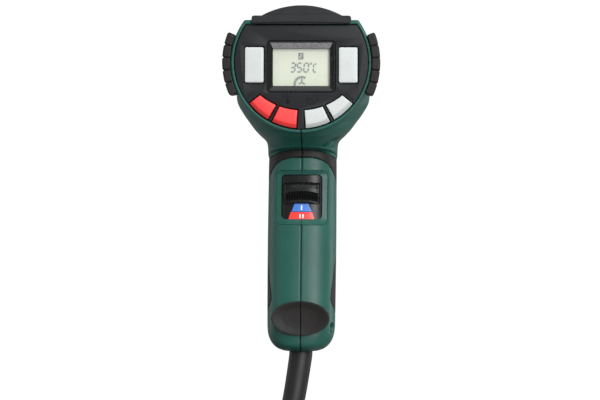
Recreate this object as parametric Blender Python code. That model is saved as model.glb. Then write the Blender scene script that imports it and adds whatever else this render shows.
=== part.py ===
"""Heat gun with a rear display, built from separate pieces.

Metres, +Z up. The origin is the centre of the grip. The barrel runs along +Y (nozzle forward), the
handle hangs down and leans back, +X is the right side seen from behind. Sizes below are in
millimetres in the barrel's own frame: x right, y forward from the rear plane, z up from the
barrel's axis. An empty places that frame in the world, so that the grip's centre is the origin.
"""
import math

import bmesh
import bpy
from mathutils import Matrix, Vector

MM = 0.001

# Facets round turned shapes and round bars
TURN_SIDES = 30
ROD_SIDES = 12
INNER_SIDES = 16          # cavities, which nobody sees

# Driving dimensions, millimetres
GRIP_CENTRE_Y = 30.5        # grip centre from the rear plane
GRIP_CENTRE_Z = -100.0      # grip centre below the barrel axis
GAP = 0.3                   # clearance between touching pieces
WALL = 2.4                  # casing wall
SEAM = 0.15                 # each shell stands this far from the middle plane

HEAD_R = 40.2               # rear disc
BARREL_R = 32.0             # barrel just ahead of the disc
FRONT_R = 29.4              # barrel's front end
SHOULDER = (34.0, 62.0)     # the disc narrows to the barrel between these y
BARREL_END = 126.0
TOP_FLAT_Z = 24.0           # flat under the top cover
TOP_FLAT_END = 46.0
DOME_R = 48.0               # arc of the top cover
DOME_TOP_Z = 33.0

PANEL_R = 38.0
PANEL_Y = (0.5, 3.0)
REST_Y = -2.0               # plane of the rear rests
REST_TURN = math.radians(1.4)           # the side rests sit a little below the barrel's level

PANEL_CHORD_Z = 21.2        # flat top of the panel's disc
DISPLAY_X = (-19.3, 19.3)   # display frame
DISPLAY_Z = (-16.9, 12.1)
VIEW_X = (-16.15, 16.15)    # opening in the display frame
VIEW_Z = (-13.3, 7.8)
SIDE_KEY = (26.6, -1.6, 5.3, 10.0)      # centre x and z, half width, half height
ARC_INNER = (8.8, 36.0)                 # the arc keys' inner edge: centre height and radius
ARC_CENTRE_R = 32.8                     # the arc keys' middles
ARC_KEYS = {                            # from and to, in degrees from straight down; colour
    "key_heat_down": (-51.3, -30.2, "red"), "key_heat_up": (-26.0, -4.2, "red"),
    "key_air_down": (4.2, 26.0, "pale"), "key_air_up": (30.2, 51.3, "pale"),
}
KEY_SLOT = 0.35             # clearance round a key
KEY_FLANGE = 0.9            # how far a key's flange reaches behind the panel

HANDLE_LEAN = 0.24          # the handle's centre moves back this much for each unit down
HANDLE_AXIS_Y = 55.0        # where the handle's centre line crosses the barrel axis level
LEAN_ANGLE = math.atan(HANDLE_LEAN)
HANDLE_WALL = 4.2
GRIP_SKIN = 1.6             # rubber on the collar, the flanks and the finger side
HEEL_PAD = (-145.0, 16.5, 9.75)         # centre z, half width, half height
TRACK_INSET = 2.2           # ceiling of the slider's track below the outer surface
WINDOW_X = 11.7
WINDOW_Z = (-88.9, -63.4)
FOOT_LINE = (16.6, -160.0)  # y and z of a point where the cord leaves the foot

# y, z of the six casing screws, and how deep their heads sit
SCREWS = [(20.6, -44.4), (58.0, -45.0), (10.0, -151.0), (31.0, -151.0), (115.5, -22.0), (115.5, 22.0)]
SCREW_SEAT_X = 9.0
SCREW_CLEAR_R = 1.85
SCREW_PILOT_R = 1.8
SCREW_SINK_R = 3.0
CLAMP_X = 6.3               # screws of the cord clamp
CLAMP_Z = -137.0

NOZZLE_R = 17.0             # 34 mm outlet tube
NOZZLE_END = 251.0
NOZZLE_WALL = 0.8
NOZZLE_LIP_R = 15.4         # the tube's end is rolled inward to this radius
SHIELD_Y = (134.3, 190.0)

CORD_R = 4.5
FLOOR_Z = -265.0            # surface that the stored cord lies on
COIL_CENTRE = (-86.0, 55.0)
COIL_R = 50.0               # middle of the turns
COIL_HALF = 13.5            # three turns wide and three high
COIL_Z = FLOOR_Z + 1.8      # the tie's strap passes under the turns
COIL_SOFT = 3.5             # chamfer of the bundle's section
TIE_HALF = 4.0              # the strap's half width, its thickness and its distance from the bundle
TIE_THICK = 1.0
TIE_SLACK = 0.7
TAIL_ANGLES = (165.0, 92.0)             # the tail lies on the ring between these angles
TAIL_RISE = 9.2             # lifts the tail to the plug's middle
PIN_SPACING = 9.5           # each pin from the plug's middle

NECK = [                    # z, half width, rear y, front y, exponent: stations down to the ledge
    (-6.0, 38.6, 7.0, 82.0, 2.1), (-14.0, 38.9, 6.0, 80.0, 2.1), (-21.5, 38.2, 4.0, 78.0, 2.1),
    (-28.3, 34.4, 1.9, 75.0, 2.1), (-33.0, 31.0, 1.2, 72.6, 2.1), (-37.4, 27.7, 1.8, 70.0, 2.2),
    (-41.0, 24.3, 5.2, 67.6, 2.3), (-43.4, 21.7, 9.4, 66.1, 2.3), (-45.2, 20.7, 12.8, 65.0, 2.4),
    (-48.0, 20.3, 16.8, 64.0, 2.4), (-56.0, 20.1, 19.0, 62.6, 2.5),
]
STATIONS = [                # the same for the handle
    (-38.0, 19.7, 26.0, 65.2, 2.6), (-50.5, 19.7, 22.8, 62.9, 2.6), (-56.0, 19.75, 21.7, 61.6, 2.6),
    (-75.0, 19.8, 17.0, 57.0, 2.6), (-100.0, 19.85, 11.0, 51.0, 2.6), (-125.0, 19.7, 5.0, 45.0, 2.6),
    (-145.0, 19.5, 0.9, 40.2, 2.6), (-153.0, 19.2, -0.3, 38.0, 2.6), (-157.5, 18.0, -0.2, 35.6, 2.5),
    (-160.8, 15.8, 0.6, 32.6, 2.4), (-163.0, 13.0, 3.8, 28.8, 2.3), (-164.2, 9.6, 7.4, 24.6, 2.2),
]
LEDGE = (11.5, -46.63, -0.207)    # the neck ends on a plane through this y and z, with this slope
LEDGE_FLOOR = 2.7           # thickness of the neck above its ledge
FOOT_FLOOR = (-160.3, 16.0, 0.4, 33.0, 2.4)     # the hollow's last station
CAVITY_STATIONS = STATIONS[:1] + STATIONS[2:7:2] + [FOOT_FLOOR]

# Points on the lead: in the sleeve, then hanging and turning along the surface to the coil
SLEEVE_ROUTE = [(0.0, 17.06, -158.1), (0.0, 15.64, -164.0), (-0.5, 14.3, -170.0), (-3.6, 11.0, -190.0),
                (-7.6, 8.6, -208.0), (-9.4, 7.4, -218.0)]
LEAD_ROUTE = [(-9.5, 7.3, -218.5), (-11.7, 5.8, -229.5), (-19.0, 1.0, -243.0), (-31.0, -2.8, -252.6),
              (-44.0, -4.0, -257.8), (-51.6, -4.0, -258.9)]

COLORS = {                  # name: (colour, roughness, metallic)
    "green": ((0.018, 0.105, 0.085), 0.45, 0.0),
    "black": ((0.012, 0.012, 0.013), 0.4, 0.0),
    "rubber": ((0.030, 0.026, 0.025), 0.75, 0.0),
    "pale": ((0.68, 0.72, 0.70), 0.45, 0.0),
    "red": ((0.85, 0.07, 0.07), 0.45, 0.0),
    "clear": ((0.75, 0.80, 0.70), 0.1, 0.0),
    "lcd": ((0.62, 0.68, 0.52), 0.3, 0.0),
    "board": ((0.02, 0.20, 0.08), 0.5, 0.0),
    "steel": ((0.60, 0.60, 0.62), 0.3, 1.0),
    "ceramic": ((0.80, 0.78, 0.72), 0.7, 0.0),
    "wire": ((0.42, 0.38, 0.35), 0.4, 1.0),
    "white": ((0.75, 0.75, 0.73), 0.5, 0.0),
}


# ---------------------------------------------------------------- helpers

def clear_scene():
    for item in list(bpy.data.objects):
        bpy.data.objects.remove(item, do_unlink=True)


def make_material(name):
    colour, roughness, metallic = COLORS[name]
    material = bpy.data.materials.get(name) or bpy.data.materials.new(name)
    material.use_nodes = True
    shader = material.node_tree.nodes["Principled BSDF"]
    shader.inputs["Base Color"].default_value = (*colour, 1.0)
    shader.inputs["Roughness"].default_value = roughness
    shader.inputs["Metallic"].default_value = metallic
    return material


def add_empty(name, parent, location, turn_x=0.0):
    empty = bpy.data.objects.new(name, None)
    bpy.context.scene.collection.objects.link(empty)
    empty.parent = parent
    empty.location = Vector(location) * MM
    empty.rotation_euler = (turn_x, 0.0, 0.0)
    return empty


def add_mesh(name, verts, faces, parent, origin=(0.0, 0.0, 0.0)):
    """A closed mesh from millimetre points, with its object's origin at the point given."""
    mesh = bpy.data.meshes.new(name)
    start = Vector(origin)
    mesh.from_pydata([(Vector(v) - start) * MM for v in verts], [], faces)
    work = bmesh.new()
    work.from_mesh(mesh)
    bmesh.ops.recalc_face_normals(work, faces=work.faces)
    work.to_mesh(mesh)
    work.free()
    item = bpy.data.objects.new(name, mesh)
    bpy.context.scene.collection.objects.link(item)
    item.parent = parent
    item.location = start * MM
    return item


def finish(item, color, smooth=True):
    """Gives a piece its own material and shades its round stretches smooth."""
    material = make_material(color).copy()
    material.name = item.name + "_material"
    item.data.materials.clear()
    item.data.materials.append(material)
    if smooth:
        item.data.shade_smooth()
        item.data.set_sharp_from_angle(angle=math.radians(35.0))
    return item


def loft(name, rings, parent, origin=(0.0, 0.0, 0.0)):
    """Skin over rings of equal count, closed by a face at each end."""
    count = len(rings[0])
    verts = [p for ring in rings for p in ring]
    faces = [list(range(count)), list(range(len(verts) - count, len(verts)))]
    for r in range(len(rings) - 1):
        for i in range(count):
            j = (i + 1) % count
            faces.append([r * count + i, r * count + j, (r + 1) * count + j, (r + 1) * count + i])
    return add_mesh(name, verts, faces, parent, origin)


def circle(r, count, phase=0.0):
    return [(r * math.cos(phase + 2 * math.pi * i / count), r * math.sin(phase + 2 * math.pi * i / count))
            for i in range(count)]


def rod(name, start, end, r, parent, count=ROD_SIDES, end_r=None, origin=(0.0, 0.0, 0.0)):
    """A round bar or cone between two points."""
    a, b = Vector(start), Vector(end)
    turn = (b - a).to_track_quat("Z", "Y")
    rings = []
    for centre, radius in ((a, r), (b, r if end_r is None else end_r)):
        rings.append([centre + turn @ Vector((u, v, 0.0)) for u, v in circle(radius, count)])
    return loft(name, rings, parent, origin)


def turned(name, profile, parent, count=TURN_SIDES):
    """A closed profile of (y, r) points, none on the axis, turned about the y axis."""
    verts = []
    for u, v in circle(1.0, count):
        verts.extend((u * r, y, v * r) for y, r in profile)
    n = len(profile)
    faces = []
    for i in range(count):
        j = (i + 1) % count
        for k in range(n):
            m = (k + 1) % n
            faces.append([i * n + k, i * n + m, j * n + m, j * n + k])
    return add_mesh(name, verts, faces, parent)


def solid_turned(name, profile, parent, count=TURN_SIDES):
    """An open profile of (y, r) points turned about the y axis and closed by flat ends."""
    rings = [[(u * r, y, v * r) for u, v in circle(1.0, count)] for y, r in profile]
    return loft(name, rings, parent)


def block(name, x, y, z, parent, origin=(0.0, 0.0, 0.0)):
    return loft(name, [[(x[0], y[0], h), (x[1], y[0], h), (x[1], y[1], h), (x[0], y[1], h)] for h in z],
                parent, origin)


def prism_y(name, outline, y, parent, origin=(0.0, 0.0, 0.0)):
    """An outline of (x, z) points carried from y[0] to y[1]."""
    return loft(name, [[(u, depth, v) for u, v in outline] for depth in y], parent, origin)


def prism_x(name, outline, x, parent, origin=(0.0, 0.0, 0.0)):
    """An outline of (y, z) points carried from x[0] to x[1]."""
    return loft(name, [[(side, u, v) for u, v in outline] for side in x], parent, origin)


def rounded_rect(x, z, radius, steps=4):
    """Outline of a rectangle with round corners."""
    points = []
    corners = ((x[1], z[1], 0), (x[0], z[1], 90), (x[0], z[0], 180), (x[1], z[0], 270))
    for cx, cz, turn in corners:
        mx = cx - radius if turn in (0, 270) else cx + radius
        mz = cz - radius if turn in (0, 90) else cz + radius
        for k in range(steps + 1):
            a = math.radians(turn + 90.0 * k / steps)
            points.append((mx + radius * math.cos(a), mz + radius * math.sin(a)))
    return points


def combine(item, other, operation, keep=False, solver="EXACT"):
    """Boolean of two closed objects; the result replaces the first one's mesh."""
    step = item.modifiers.new(operation.lower(), "BOOLEAN")
    step.operation = operation
    step.solver = solver
    step.object = other
    graph = bpy.context.evaluated_depsgraph_get()
    graph.update()
    mesh = bpy.data.meshes.new_from_object(item.evaluated_get(graph))
    item.modifiers.remove(step)
    item.data = mesh
    if not keep:
        bpy.data.objects.remove(other, do_unlink=True)
    return item


def clean(item, distance=0.002):
    """Welds points that a cut left closer together than the distance, in millimetres."""
    work = bmesh.new()
    work.from_mesh(item.data)
    bmesh.ops.remove_doubles(work, verts=work.verts, dist=distance * MM)
    bmesh.ops.dissolve_degenerate(work, edges=work.edges, dist=distance * MM)
    work.to_mesh(item.data)
    work.free()
    return item


def copy_of(item, name):
    twin = item.copy()
    twin.data = item.data.copy()
    twin.name = name
    bpy.context.scene.collection.objects.link(twin)
    return twin


def ring_loft(name, loops, parent):
    """Skin over loops of equal count that closes on itself, such as a frame's cross-section."""
    count = len(loops[0])
    verts = [p for loop in loops for p in loop]
    faces = []
    for r in range(len(loops)):
        s = (r + 1) % len(loops)
        for i in range(count):
            j = (i + 1) % count
            faces.append([r * count + i, r * count + j, s * count + j, s * count + i])
    return add_mesh(name, verts, faces, parent)


def smooth_path(points, steps):
    """Catmull-Rom curve through the points, with a number of steps in each span."""
    pts = [Vector(p) for p in points]
    pts = [2 * pts[0] - pts[1]] + pts + [2 * pts[-1] - pts[-2]]
    out = []
    for i in range(1, len(pts) - 2):
        a, b, c, d = pts[i - 1:i + 3]
        for k in range(steps):
            t = k / steps
            out.append(0.5 * (2 * b + (c - a) * t + (2 * a - 5 * b + 4 * c - d) * t * t
                              + (3 * b - a - 3 * c + d) * t ** 3))
    out.append(pts[-2])
    return out


def tube(name, points, radii, parent, count=ROD_SIDES):
    """A round bar along a path, with a radius at each point."""
    rings = []
    side = Vector((1.0, 0.0, 0.0))
    for i, point in enumerate(points):
        ahead = (points[min(i + 1, len(points) - 1)] - points[max(i - 1, 0)]).normalized()
        side = (side - ahead * side.dot(ahead)).normalized()
        other = ahead.cross(side)
        rings.append([point + side * u + other * v for u, v in circle(radii[i], count)])
    return loft(name, rings, parent)


def offset_outline(points, distance):
    """Moves a counter-clockwise outline outward by a distance."""
    out = []
    for i, (px, pz) in enumerate(points):
        ax, az = points[i - 1]
        bx, bz = points[(i + 1) % len(points)]
        n1 = Vector((pz - az, ax - px)).normalized()
        n2 = Vector((bz - pz, px - bx)).normalized()
        mid = (n1 + n2).normalized()
        reach = distance / max(mid.dot(n1), 0.5)
        out.append((px + mid.x * reach, pz + mid.y * reach))
    return out


# ---------------------------------------------------------------- casing forms

def shoulder_radius(y):
    t = min(max((y - SHOULDER[0]) / (SHOULDER[1] - SHOULDER[0]), 0.0), 1.0)
    if y > SHOULDER[1]:
        return BARREL_R + (FRONT_R - BARREL_R) * (y - SHOULDER[1]) / (BARREL_END - SHOULDER[1])
    return HEAD_R + (BARREL_R - HEAD_R) * t * t * (3.0 - 2.0 * t)


def dome_outline(radius, half, top):
    """Region above the top cover's arc, as (x, z) points."""
    centre = DOME_TOP_Z - DOME_R
    steps = 16
    xs = [-half + 2 * half * k / steps for k in range(steps + 1)]
    arc = [(x, centre + math.sqrt(radius * radius - x * x)) for x in xs]
    return arc + [(half, top), (-half, top)]


def barrel_form(name, inset, parent):
    """The head and barrel, inset by a wall, with the flat and the dome cut at the top."""
    ys = [3.3] + [SHOULDER[0] + (SHOULDER[1] - SHOULDER[0]) * k / 7 for k in range(8)]
    if inset > 0.0:
        profile = [(-1.0, PANEL_R + GAP), (3.3, PANEL_R + GAP)]
        end = BARREL_END + 1.0
    else:
        profile = [(0.0, HEAD_R - 0.7), (0.7, HEAD_R)]
        end = BARREL_END
    profile += [(y, shoulder_radius(y) - inset) for y in ys]
    profile += [(BARREL_END - 1.0, FRONT_R - inset), (end, FRONT_R - inset)]
    body = solid_turned(name, profile, parent, 28 if inset > 0.0 else 40)
    flat = block("flat_cut", (-60, 60), (-5, TOP_FLAT_END + inset), (TOP_FLAT_Z - inset, 60), parent)
    combine(body, flat, "DIFFERENCE")
    arc = prism_y("dome_cut", dome_outline(DOME_R - inset, 42.0, 60.0), (TOP_FLAT_END + inset - 0.01, 80.0),
                  parent)
    return combine(body, arc, "DIFFERENCE")


def handle_ring(station, inset, count=28):
    z, half_width, rear, front, n = station
    a = half_width - inset
    b = (front - rear) / 2 - inset
    middle = (front + rear) / 2
    ring = []
    for u, v in circle(1.0, count, math.pi / count):
        x = math.copysign(abs(u) ** (2 / n), u) * a
        y = math.copysign(abs(v) ** (2 / n), v) * b
        ring.append((x, middle + y, z))
    return ring


def handle_form(name, inset, parent, bottom=-170.0):
    """The handle down to a height, inset by a wall."""
    return loft(name, [handle_ring(s, inset) for s in STATIONS if s[0] >= bottom], parent)


def neck_form(name, rings, rise, parent):
    """The neck, cut off at the ledge or a distance above it."""
    y, z, slope = LEDGE
    zone = [(side, z + rise + slope * (side - y)) for side in (-20.0, 95.0)] + [(95.0, 5.0), (-20.0, 5.0)]
    return combine(loft(name, rings, parent), prism_x("zone", zone, (-60, 60), parent), "INTERSECT")


def grip_outline():
    """Side view (y, z) of the rubber skin: the collar, the flanks and the finger side."""
    upper = [(90.0, -66.6), (36.0, -54.2), (29.0, -52.4), (25.0, -49.9), (22.4, -48.3), (-20.0, -45.4)]
    flank = smooth_path([(21.8, -52.2, 0), (25.4, -56.1, 0), (29.6, -62.1, 0), (33.6, -66.0, 0),
                         (39.0, -71.4, 0), (41.0, -80.0, 0), (38.2, -92.0, 0), (29.5, -106.0, 0),
                         (19.5, -116.2, 0), (14.2, -125.7, 0), (10.8, -133.8, 0), (12.4, -138.2, 0),
                         (19.5, -142.6, 0), (34.0, -146.5, 0)], 3)
    return upper + [(-20.0, -48.0)] + [(p.x, p.y) for p in flank] + [(90.0, -158.0)]


def foot_point(z):
    """A point on the line along which the cord leaves the handle's foot."""
    return (0.0, FOOT_LINE[0] + HANDLE_LEAN * (z - FOOT_LINE[1]), z)


def add_casing(frame):
    rings = [handle_ring(s, HANDLE_WALL, INNER_SIDES) for s in CAVITY_STATIONS]
    cavity = loft("cavity", rings, frame)
    neck_rings = [handle_ring(s, HANDLE_WALL, INNER_SIDES) for s in NECK[1::2]]
    combine(cavity, neck_form("neck_room", neck_rings, LEDGE_FLOOR, frame), "UNION")
    combine(cavity, barrel_form("room", WALL, frame), "UNION")
    for y, z in SCREWS:
        combine(cavity, rod("boss", (-40, y, z), (40, y, z), SCREW_SINK_R + 0.4, frame, 10), "DIFFERENCE")
    for side in (-1, 1):
        post = rod("post", (side * CLAMP_X, -10, CLAMP_Z), (side * CLAMP_X, 19.6, CLAMP_Z), 2.8, frame)
        combine(cavity, post, "DIFFERENCE")
    shell = combine(barrel_form("shell", 0.0, frame), handle_form("handle", 0.0, frame), "UNION")
    combine(shell, neck_form("neck", [handle_ring(s, 0.0) for s in NECK], 0.0, frame), "UNION")
    combine(shell, cavity, "DIFFERENCE")
    pocket = handle_form("pocket", -1.0, frame)
    combine(pocket, handle_form("pocket_core", GRIP_SKIN + GAP, frame), "DIFFERENCE")
    zone = prism_x("zone", offset_outline(grip_outline(), GAP), (-60, 60), frame)
    combine(pocket, zone, "INTERSECT")
    combine(shell, pocket, "DIFFERENCE")
    track = handle_form("track", TRACK_INSET, frame, bottom=-145.0)
    track_box = block("track_box", (-13.9, 13.9), (-10, 34), (-99.4, -54.3), frame)
    combine(track, track_box, "INTERSECT")
    combine(shell, track, "DIFFERENCE")
    window = prism_y("window", rounded_rect((-WINDOW_X, WINDOW_X), WINDOW_Z, 2.0), (-10, 24), frame)
    combine(shell, window, "DIFFERENCE")
    combine(shell, rod("exit_hole", foot_point(-158.5), foot_point(-170.0), 7.1, frame), "DIFFERENCE")
    for side in (-1, 1):
        pilot = rod("pilot", (side * CLAMP_X, 8, CLAMP_Z), (side * CLAMP_X, 30, CLAMP_Z), 1.6, frame)
        combine(shell, pilot, "DIFFERENCE")
        for z in (-4.0, 3.0, 10.0, 17.0):
            slot = block("slot", sorted((side * 24.0, side * 60.0)), (35.5, 52.0), (z - 1.6, z + 1.6), frame)
            combine(shell, slot, "DIFFERENCE")
    left = copy_of(shell, "housing_left")
    right = shell
    right.name = "housing_right"
    combine(left, block("half", (-80, -SEAM), (-20, 150), (-180, 60), frame), "INTERSECT")
    combine(right, block("half", (SEAM, 80), (-20, 150), (-180, 60), frame), "INTERSECT")
    for y, z in SCREWS:
        combine(right, rod("clear", (-1, y, z), (60, y, z), SCREW_CLEAR_R, frame), "DIFFERENCE")
        combine(right, rod("sink", (SCREW_SEAT_X, y, z), (60, y, z), SCREW_SINK_R, frame), "DIFFERENCE")
        combine(left, rod("pilot", (1, y, z), (-9.5, y, z), SCREW_PILOT_R, frame), "DIFFERENCE")
    for item in (left, right):
        finish(clean(item), "green")


def add_grips(frame):
    for name, span in (("grip_left", (-60, -SEAM)), ("grip_right", (SEAM, 60))):
        skin = handle_form(name, 0.0, frame)
        combine(skin, handle_form("core", GRIP_SKIN, frame), "DIFFERENCE")
        combine(skin, prism_x("zone", grip_outline(), span, frame), "INTERSECT")
        finish(clean(skin), "rubber")


def add_heel_pads(frame):
    centre_z, half_x, half_z = HEEL_PAD
    outline = [(half_x * u, centre_z + half_z * v) for u, v in circle(1.0, 32)]
    for name, span in (("heel_pad_left", (-60, -SEAM)), ("heel_pad_right", (SEAM, 60))):
        pad = prism_y(name, outline, (REST_Y, 20.0), frame)
        core = handle_form("core", -GAP, frame)
        combine(pad, core, "DIFFERENCE")
        combine(pad, block("half", span, (-20, 9.0), (-180, -100), frame), "INTERSECT")
        finish(clean(pad), "rubber")


def add_rests(frame):
    """Rubber rests around the disc: a ribbed one on each side and a bar across the top."""
    inner_r, outer_r, half_angle, ribs = HEAD_R + GAP, 44.8, math.radians(23.8), 5
    stations = [(REST_Y, 44.1), (REST_Y + 0.8, outer_r), (11.0, outer_r), (22.0, 43.0), (27.0, 41.2)]
    for side, name in ((-1, "side_rest_left"), (1, "side_rest_right")):
        rings = []
        for y, r in stations:
            outer = []
            for k in range(4 * ribs + 1):
                a = -half_angle + 2 * half_angle * k / (4 * ribs) - REST_TURN
                depth = 0.5 if k % 4 == 2 and y < 20.0 else 0.0
                outer.append((side * (r - depth) * math.cos(a), y, (r - depth) * math.sin(a)))
            inner = [(side * inner_r * math.cos(a), y, inner_r * math.sin(a))
                     for a in (half_angle * (1 - k / 4) - REST_TURN for k in range(9))]
            rings.append(outer + inner)
        finish(loft(name, rings, frame), "rubber")
    bar = rounded_rect((-28.2, 28.2), (21.6, 26.3), 1.4)
    top_rest = prism_y("top_rest", bar, (REST_Y, 8.0), frame)
    combine(top_rest, block("step", (-40, 40), (-0.3, 20), (10, TOP_FLAT_Z + GAP), frame), "DIFFERENCE")
    finish(clean(top_rest), "rubber")
    half = 26.0
    arc = [(x, z) for x, z in dome_outline(DOME_R, half, 0.0)[:-2]]
    base = TOP_FLAT_Z + GAP
    cover = prism_y("top_cover", [(-half, base)] + arc + [(half, base)], (8.0 + GAP, TOP_FLAT_END - GAP), frame)
    finish(clean(cover), "black")


# ---------------------------------------------------------------- control panel

def arc_outline(start, end, inset, outer_r):
    """Outline of a key in the arc, between two angles from straight down, pulled in by an inset."""
    centre, radius = ARC_INNER
    points = []
    steps = 6
    for k in range(steps + 1):
        a = math.radians(start + (end - start) * k / steps) + inset / outer_r * (1 - 2 * k / steps)
        points.append((outer_r * math.sin(a), -outer_r * math.cos(a)))
    for k in range(steps, -1, -1):
        a = math.radians(start + (end - start) * k / steps) + inset / radius * (1 - 2 * k / steps)
        reach = radius + inset
        t = -centre * math.cos(a) + math.sqrt((centre * math.cos(a)) ** 2 + reach ** 2 - centre ** 2)
        points.append((t * math.sin(a), -t * math.cos(a)))
    return points


def key_outlines():
    """For each key: name, outline at an inset, colour and the key's centre."""
    cx, cz, hx, hz = SIDE_KEY
    keys = []
    for side, name in ((-1, "key_left"), (1, "key_right")):
        def side_outline(inset, side=side):
            return rounded_rect((side * cx - hx + inset, side * cx + hx - inset),
                                (cz - hz + inset, cz + hz - inset), max(1.2 - inset, 0.3), 3)
        keys.append((name, side_outline, "pale", (side * cx, cz)))
    for name, (start, end, color) in ARC_KEYS.items():
        middle = math.radians((start + end) / 2)
        def key_outline(inset, outer=PANEL_R - 0.6, start=start, end=end):
            return arc_outline(start, end, inset, outer)
        centre = (ARC_CENTRE_R * math.sin(middle), -ARC_CENTRE_R * math.cos(middle))
        keys.append((name, key_outline, color, centre))
    return keys


def add_panel(frame):
    half = math.asin(PANEL_CHORD_Z / PANEL_R)
    rim = [math.pi - half + (math.pi + 2 * half) * k / 36 for k in range(37)]
    outline = [(PANEL_R * math.cos(a), PANEL_R * math.sin(a)) for a in rim]
    panel = prism_y("control_panel", outline, PANEL_Y, frame)
    hole = prism_y("hole", rounded_rect((DISPLAY_X[0] - GAP, DISPLAY_X[1] + GAP),
                                        (DISPLAY_Z[0] - GAP, DISPLAY_Z[1] + GAP), 2.4), (-5, 8), frame)
    combine(panel, hole, "DIFFERENCE")
    for name, outline_at, color, centre in key_outlines():
        open_edge = (PANEL_R + 2.0,) if name in ARC_KEYS else ()
        flange_edge = (PANEL_R - 0.9,) if name in ARC_KEYS else ()
        combine(panel, prism_y("hole", outline_at(-KEY_SLOT, *open_edge), (-5, 8), frame), "DIFFERENCE")
        origin = (centre[0], PANEL_Y[1], centre[1])
        key = prism_y(name, outline_at(0.0), (-1.0, 4.0), frame, origin)
        flange = prism_y("flange", outline_at(-KEY_FLANGE, *flange_edge), (3.4, 4.5), frame)
        combine(key, flange, "UNION")
        stem = rod("stem", (centre[0], 4.0, centre[1]), (centre[0], 5.6, centre[1]), 2.0, frame, 12)
        combine(key, stem, "UNION")
        finish(clean(key), color)
    finish(clean(panel), "black")


def add_display(frame):
    def rect(x, z, y, radius):
        return [(u, y, v) for u, v in rounded_rect(x, z, radius)]
    loops = [rect(DISPLAY_X, DISPLAY_Z, 3.1, 2.1), rect(DISPLAY_X, DISPLAY_Z, 0.55, 2.1),
             rect((DISPLAY_X[0] + 0.6, DISPLAY_X[1] - 0.6), (DISPLAY_Z[0] + 0.6, DISPLAY_Z[1] - 0.6), 0.5, 1.6),
             rect(VIEW_X, VIEW_Z, 2.3, 0.6), rect(VIEW_X, VIEW_Z, 3.1, 0.6)]
    finish(ring_loft("display_frame", loops, frame), "black")
    lens = prism_y("display_window", rounded_rect((-18.9, 18.9), (-16.5, 11.7), 1.5), (3.4, 4.5), frame)
    finish(lens, "clear")
    module = prism_y("display_module", rounded_rect((-18.3, 18.3), (-15.9, 11.1), 0.8), (4.8, 7.2), frame)
    finish(module, "lcd")
    sheet_r = 35.5
    outline = [(sheet_r * u, min(sheet_r * v, 20.2)) for u, v in circle(1.0, 32)]
    mat = prism_y("key_mat", outline, (7.6, 8.6), frame)
    for name, outline_at, color, centre in key_outlines():
        reach = 0.98
        dome = rod("dome", (centre[0] * reach, 8.0, centre[1] * reach),
                   (centre[0] * reach, 6.9, centre[1] * reach), 2.9, frame, 10, 1.8)
        combine(mat, dome, "UNION")
    finish(clean(mat), "rubber")
    finish(prism_y("display_board", outline, (8.9, 10.5), frame), "board")


# ---------------------------------------------------------------- switch and handle parts

def add_slider(frame):
    """Curved carriage behind the window with the ribbed thumb piece."""
    origin = (0.0, 17.0, -75.0)
    slider = handle_form("stage_slider", TRACK_INSET + GAP, frame, bottom=-145.0)
    combine(slider, handle_form("back", HANDLE_WALL, frame, bottom=-145.0), "DIFFERENCE")
    combine(slider, block("span", (-13.4, 13.4), (-10, 30), (-90.4, -54.7), frame), "INTERSECT")
    thumb = handle_form("thumb", -1.2, frame, bottom=-145.0)
    combine(thumb, handle_form("thumb_back", 3.4, frame, bottom=-145.0), "DIFFERENCE")
    combine(thumb, block("thumb_span", (-10.6, 10.6), (-10, 30), (-79.8, -68.2), frame), "INTERSECT")
    combine(slider, thumb, "UNION")
    clean(slider)
    shift = Vector(origin) * MM
    slider.data.transform(Matrix.Translation(-shift))
    slider.location = shift
    finish(slider, "black")


def add_handle_parts(frame):
    handle = add_empty("handle_axis", frame, (0.0, HANDLE_AXIS_Y, 0.0), -LEAN_ANGLE)
    finish(block("slide_switch", (-6.5, 6.5), (-14.2, -4.6), (-90.0, -66.0), handle), "black")
    board = block("power_board", (-12.5, 12.5), (-2.0, -0.4), (-136.0, -60.0), handle)
    finish(board, "board")
    fins = [(-10.0, -0.1), (10.0, -0.1)]
    for k in range(5):
        left, right = 10.0 - 4.5 * k, 8.0 - 4.5 * k
        fins += [(left, 9.0), (right, 9.0)]
        if k < 4:
            fins += [(right, 2.0), (left - 4.5, 2.0)]
    sink = loft("heat_sink", [[(x, y, z) for x, y in fins] for z in (-98.0, -70.0)], handle)
    finish(sink, "steel")
    finish(block("suppressor", (-8.0, 8.0), (-0.1, 8.5), (-126.0, -104.0), handle), "pale")
    clamp = block("cord_clamp", (-9.5, 9.5), (19.9, 24.4), (-141.0, -133.0), frame)
    for number, side in enumerate((-1, 1), 1):
        x = side * CLAMP_X
        combine(clamp, rod("bore", (x, 10, CLAMP_Z), (x, 40, CLAMP_Z), 1.7, frame), "DIFFERENCE")
        screw = rod("clamp_screw_%d" % number, (x, 10.5, CLAMP_Z), (x, 25.5, CLAMP_Z), 1.25, frame, 12)
        head = rod("head", (x, 24.7, CLAMP_Z), (x, 26.6, CLAMP_Z), 2.4, frame, 12)
        finish(clean(combine(screw, head, "UNION")), "steel")
    finish(clean(clamp), "black")


def add_casing_screws(frame):
    steps = [(-8.6, 0.7), (-7.4, 1.5), (SCREW_SEAT_X + GAP, 1.5), (SCREW_SEAT_X + GAP, 2.6),
             (SCREW_SEAT_X + 1.7, 2.6), (SCREW_SEAT_X + 2.3, 2.0)]
    for number, (y, z) in enumerate(SCREWS, 1):
        rings = [[(x, y + r * u, z + r * v) for u, v in circle(1.0, 9)] for x, r in steps]
        finish(loft("housing_screw_%d" % number, rings, frame), "steel")


# ---------------------------------------------------------------- blower, heater, outlet

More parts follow.
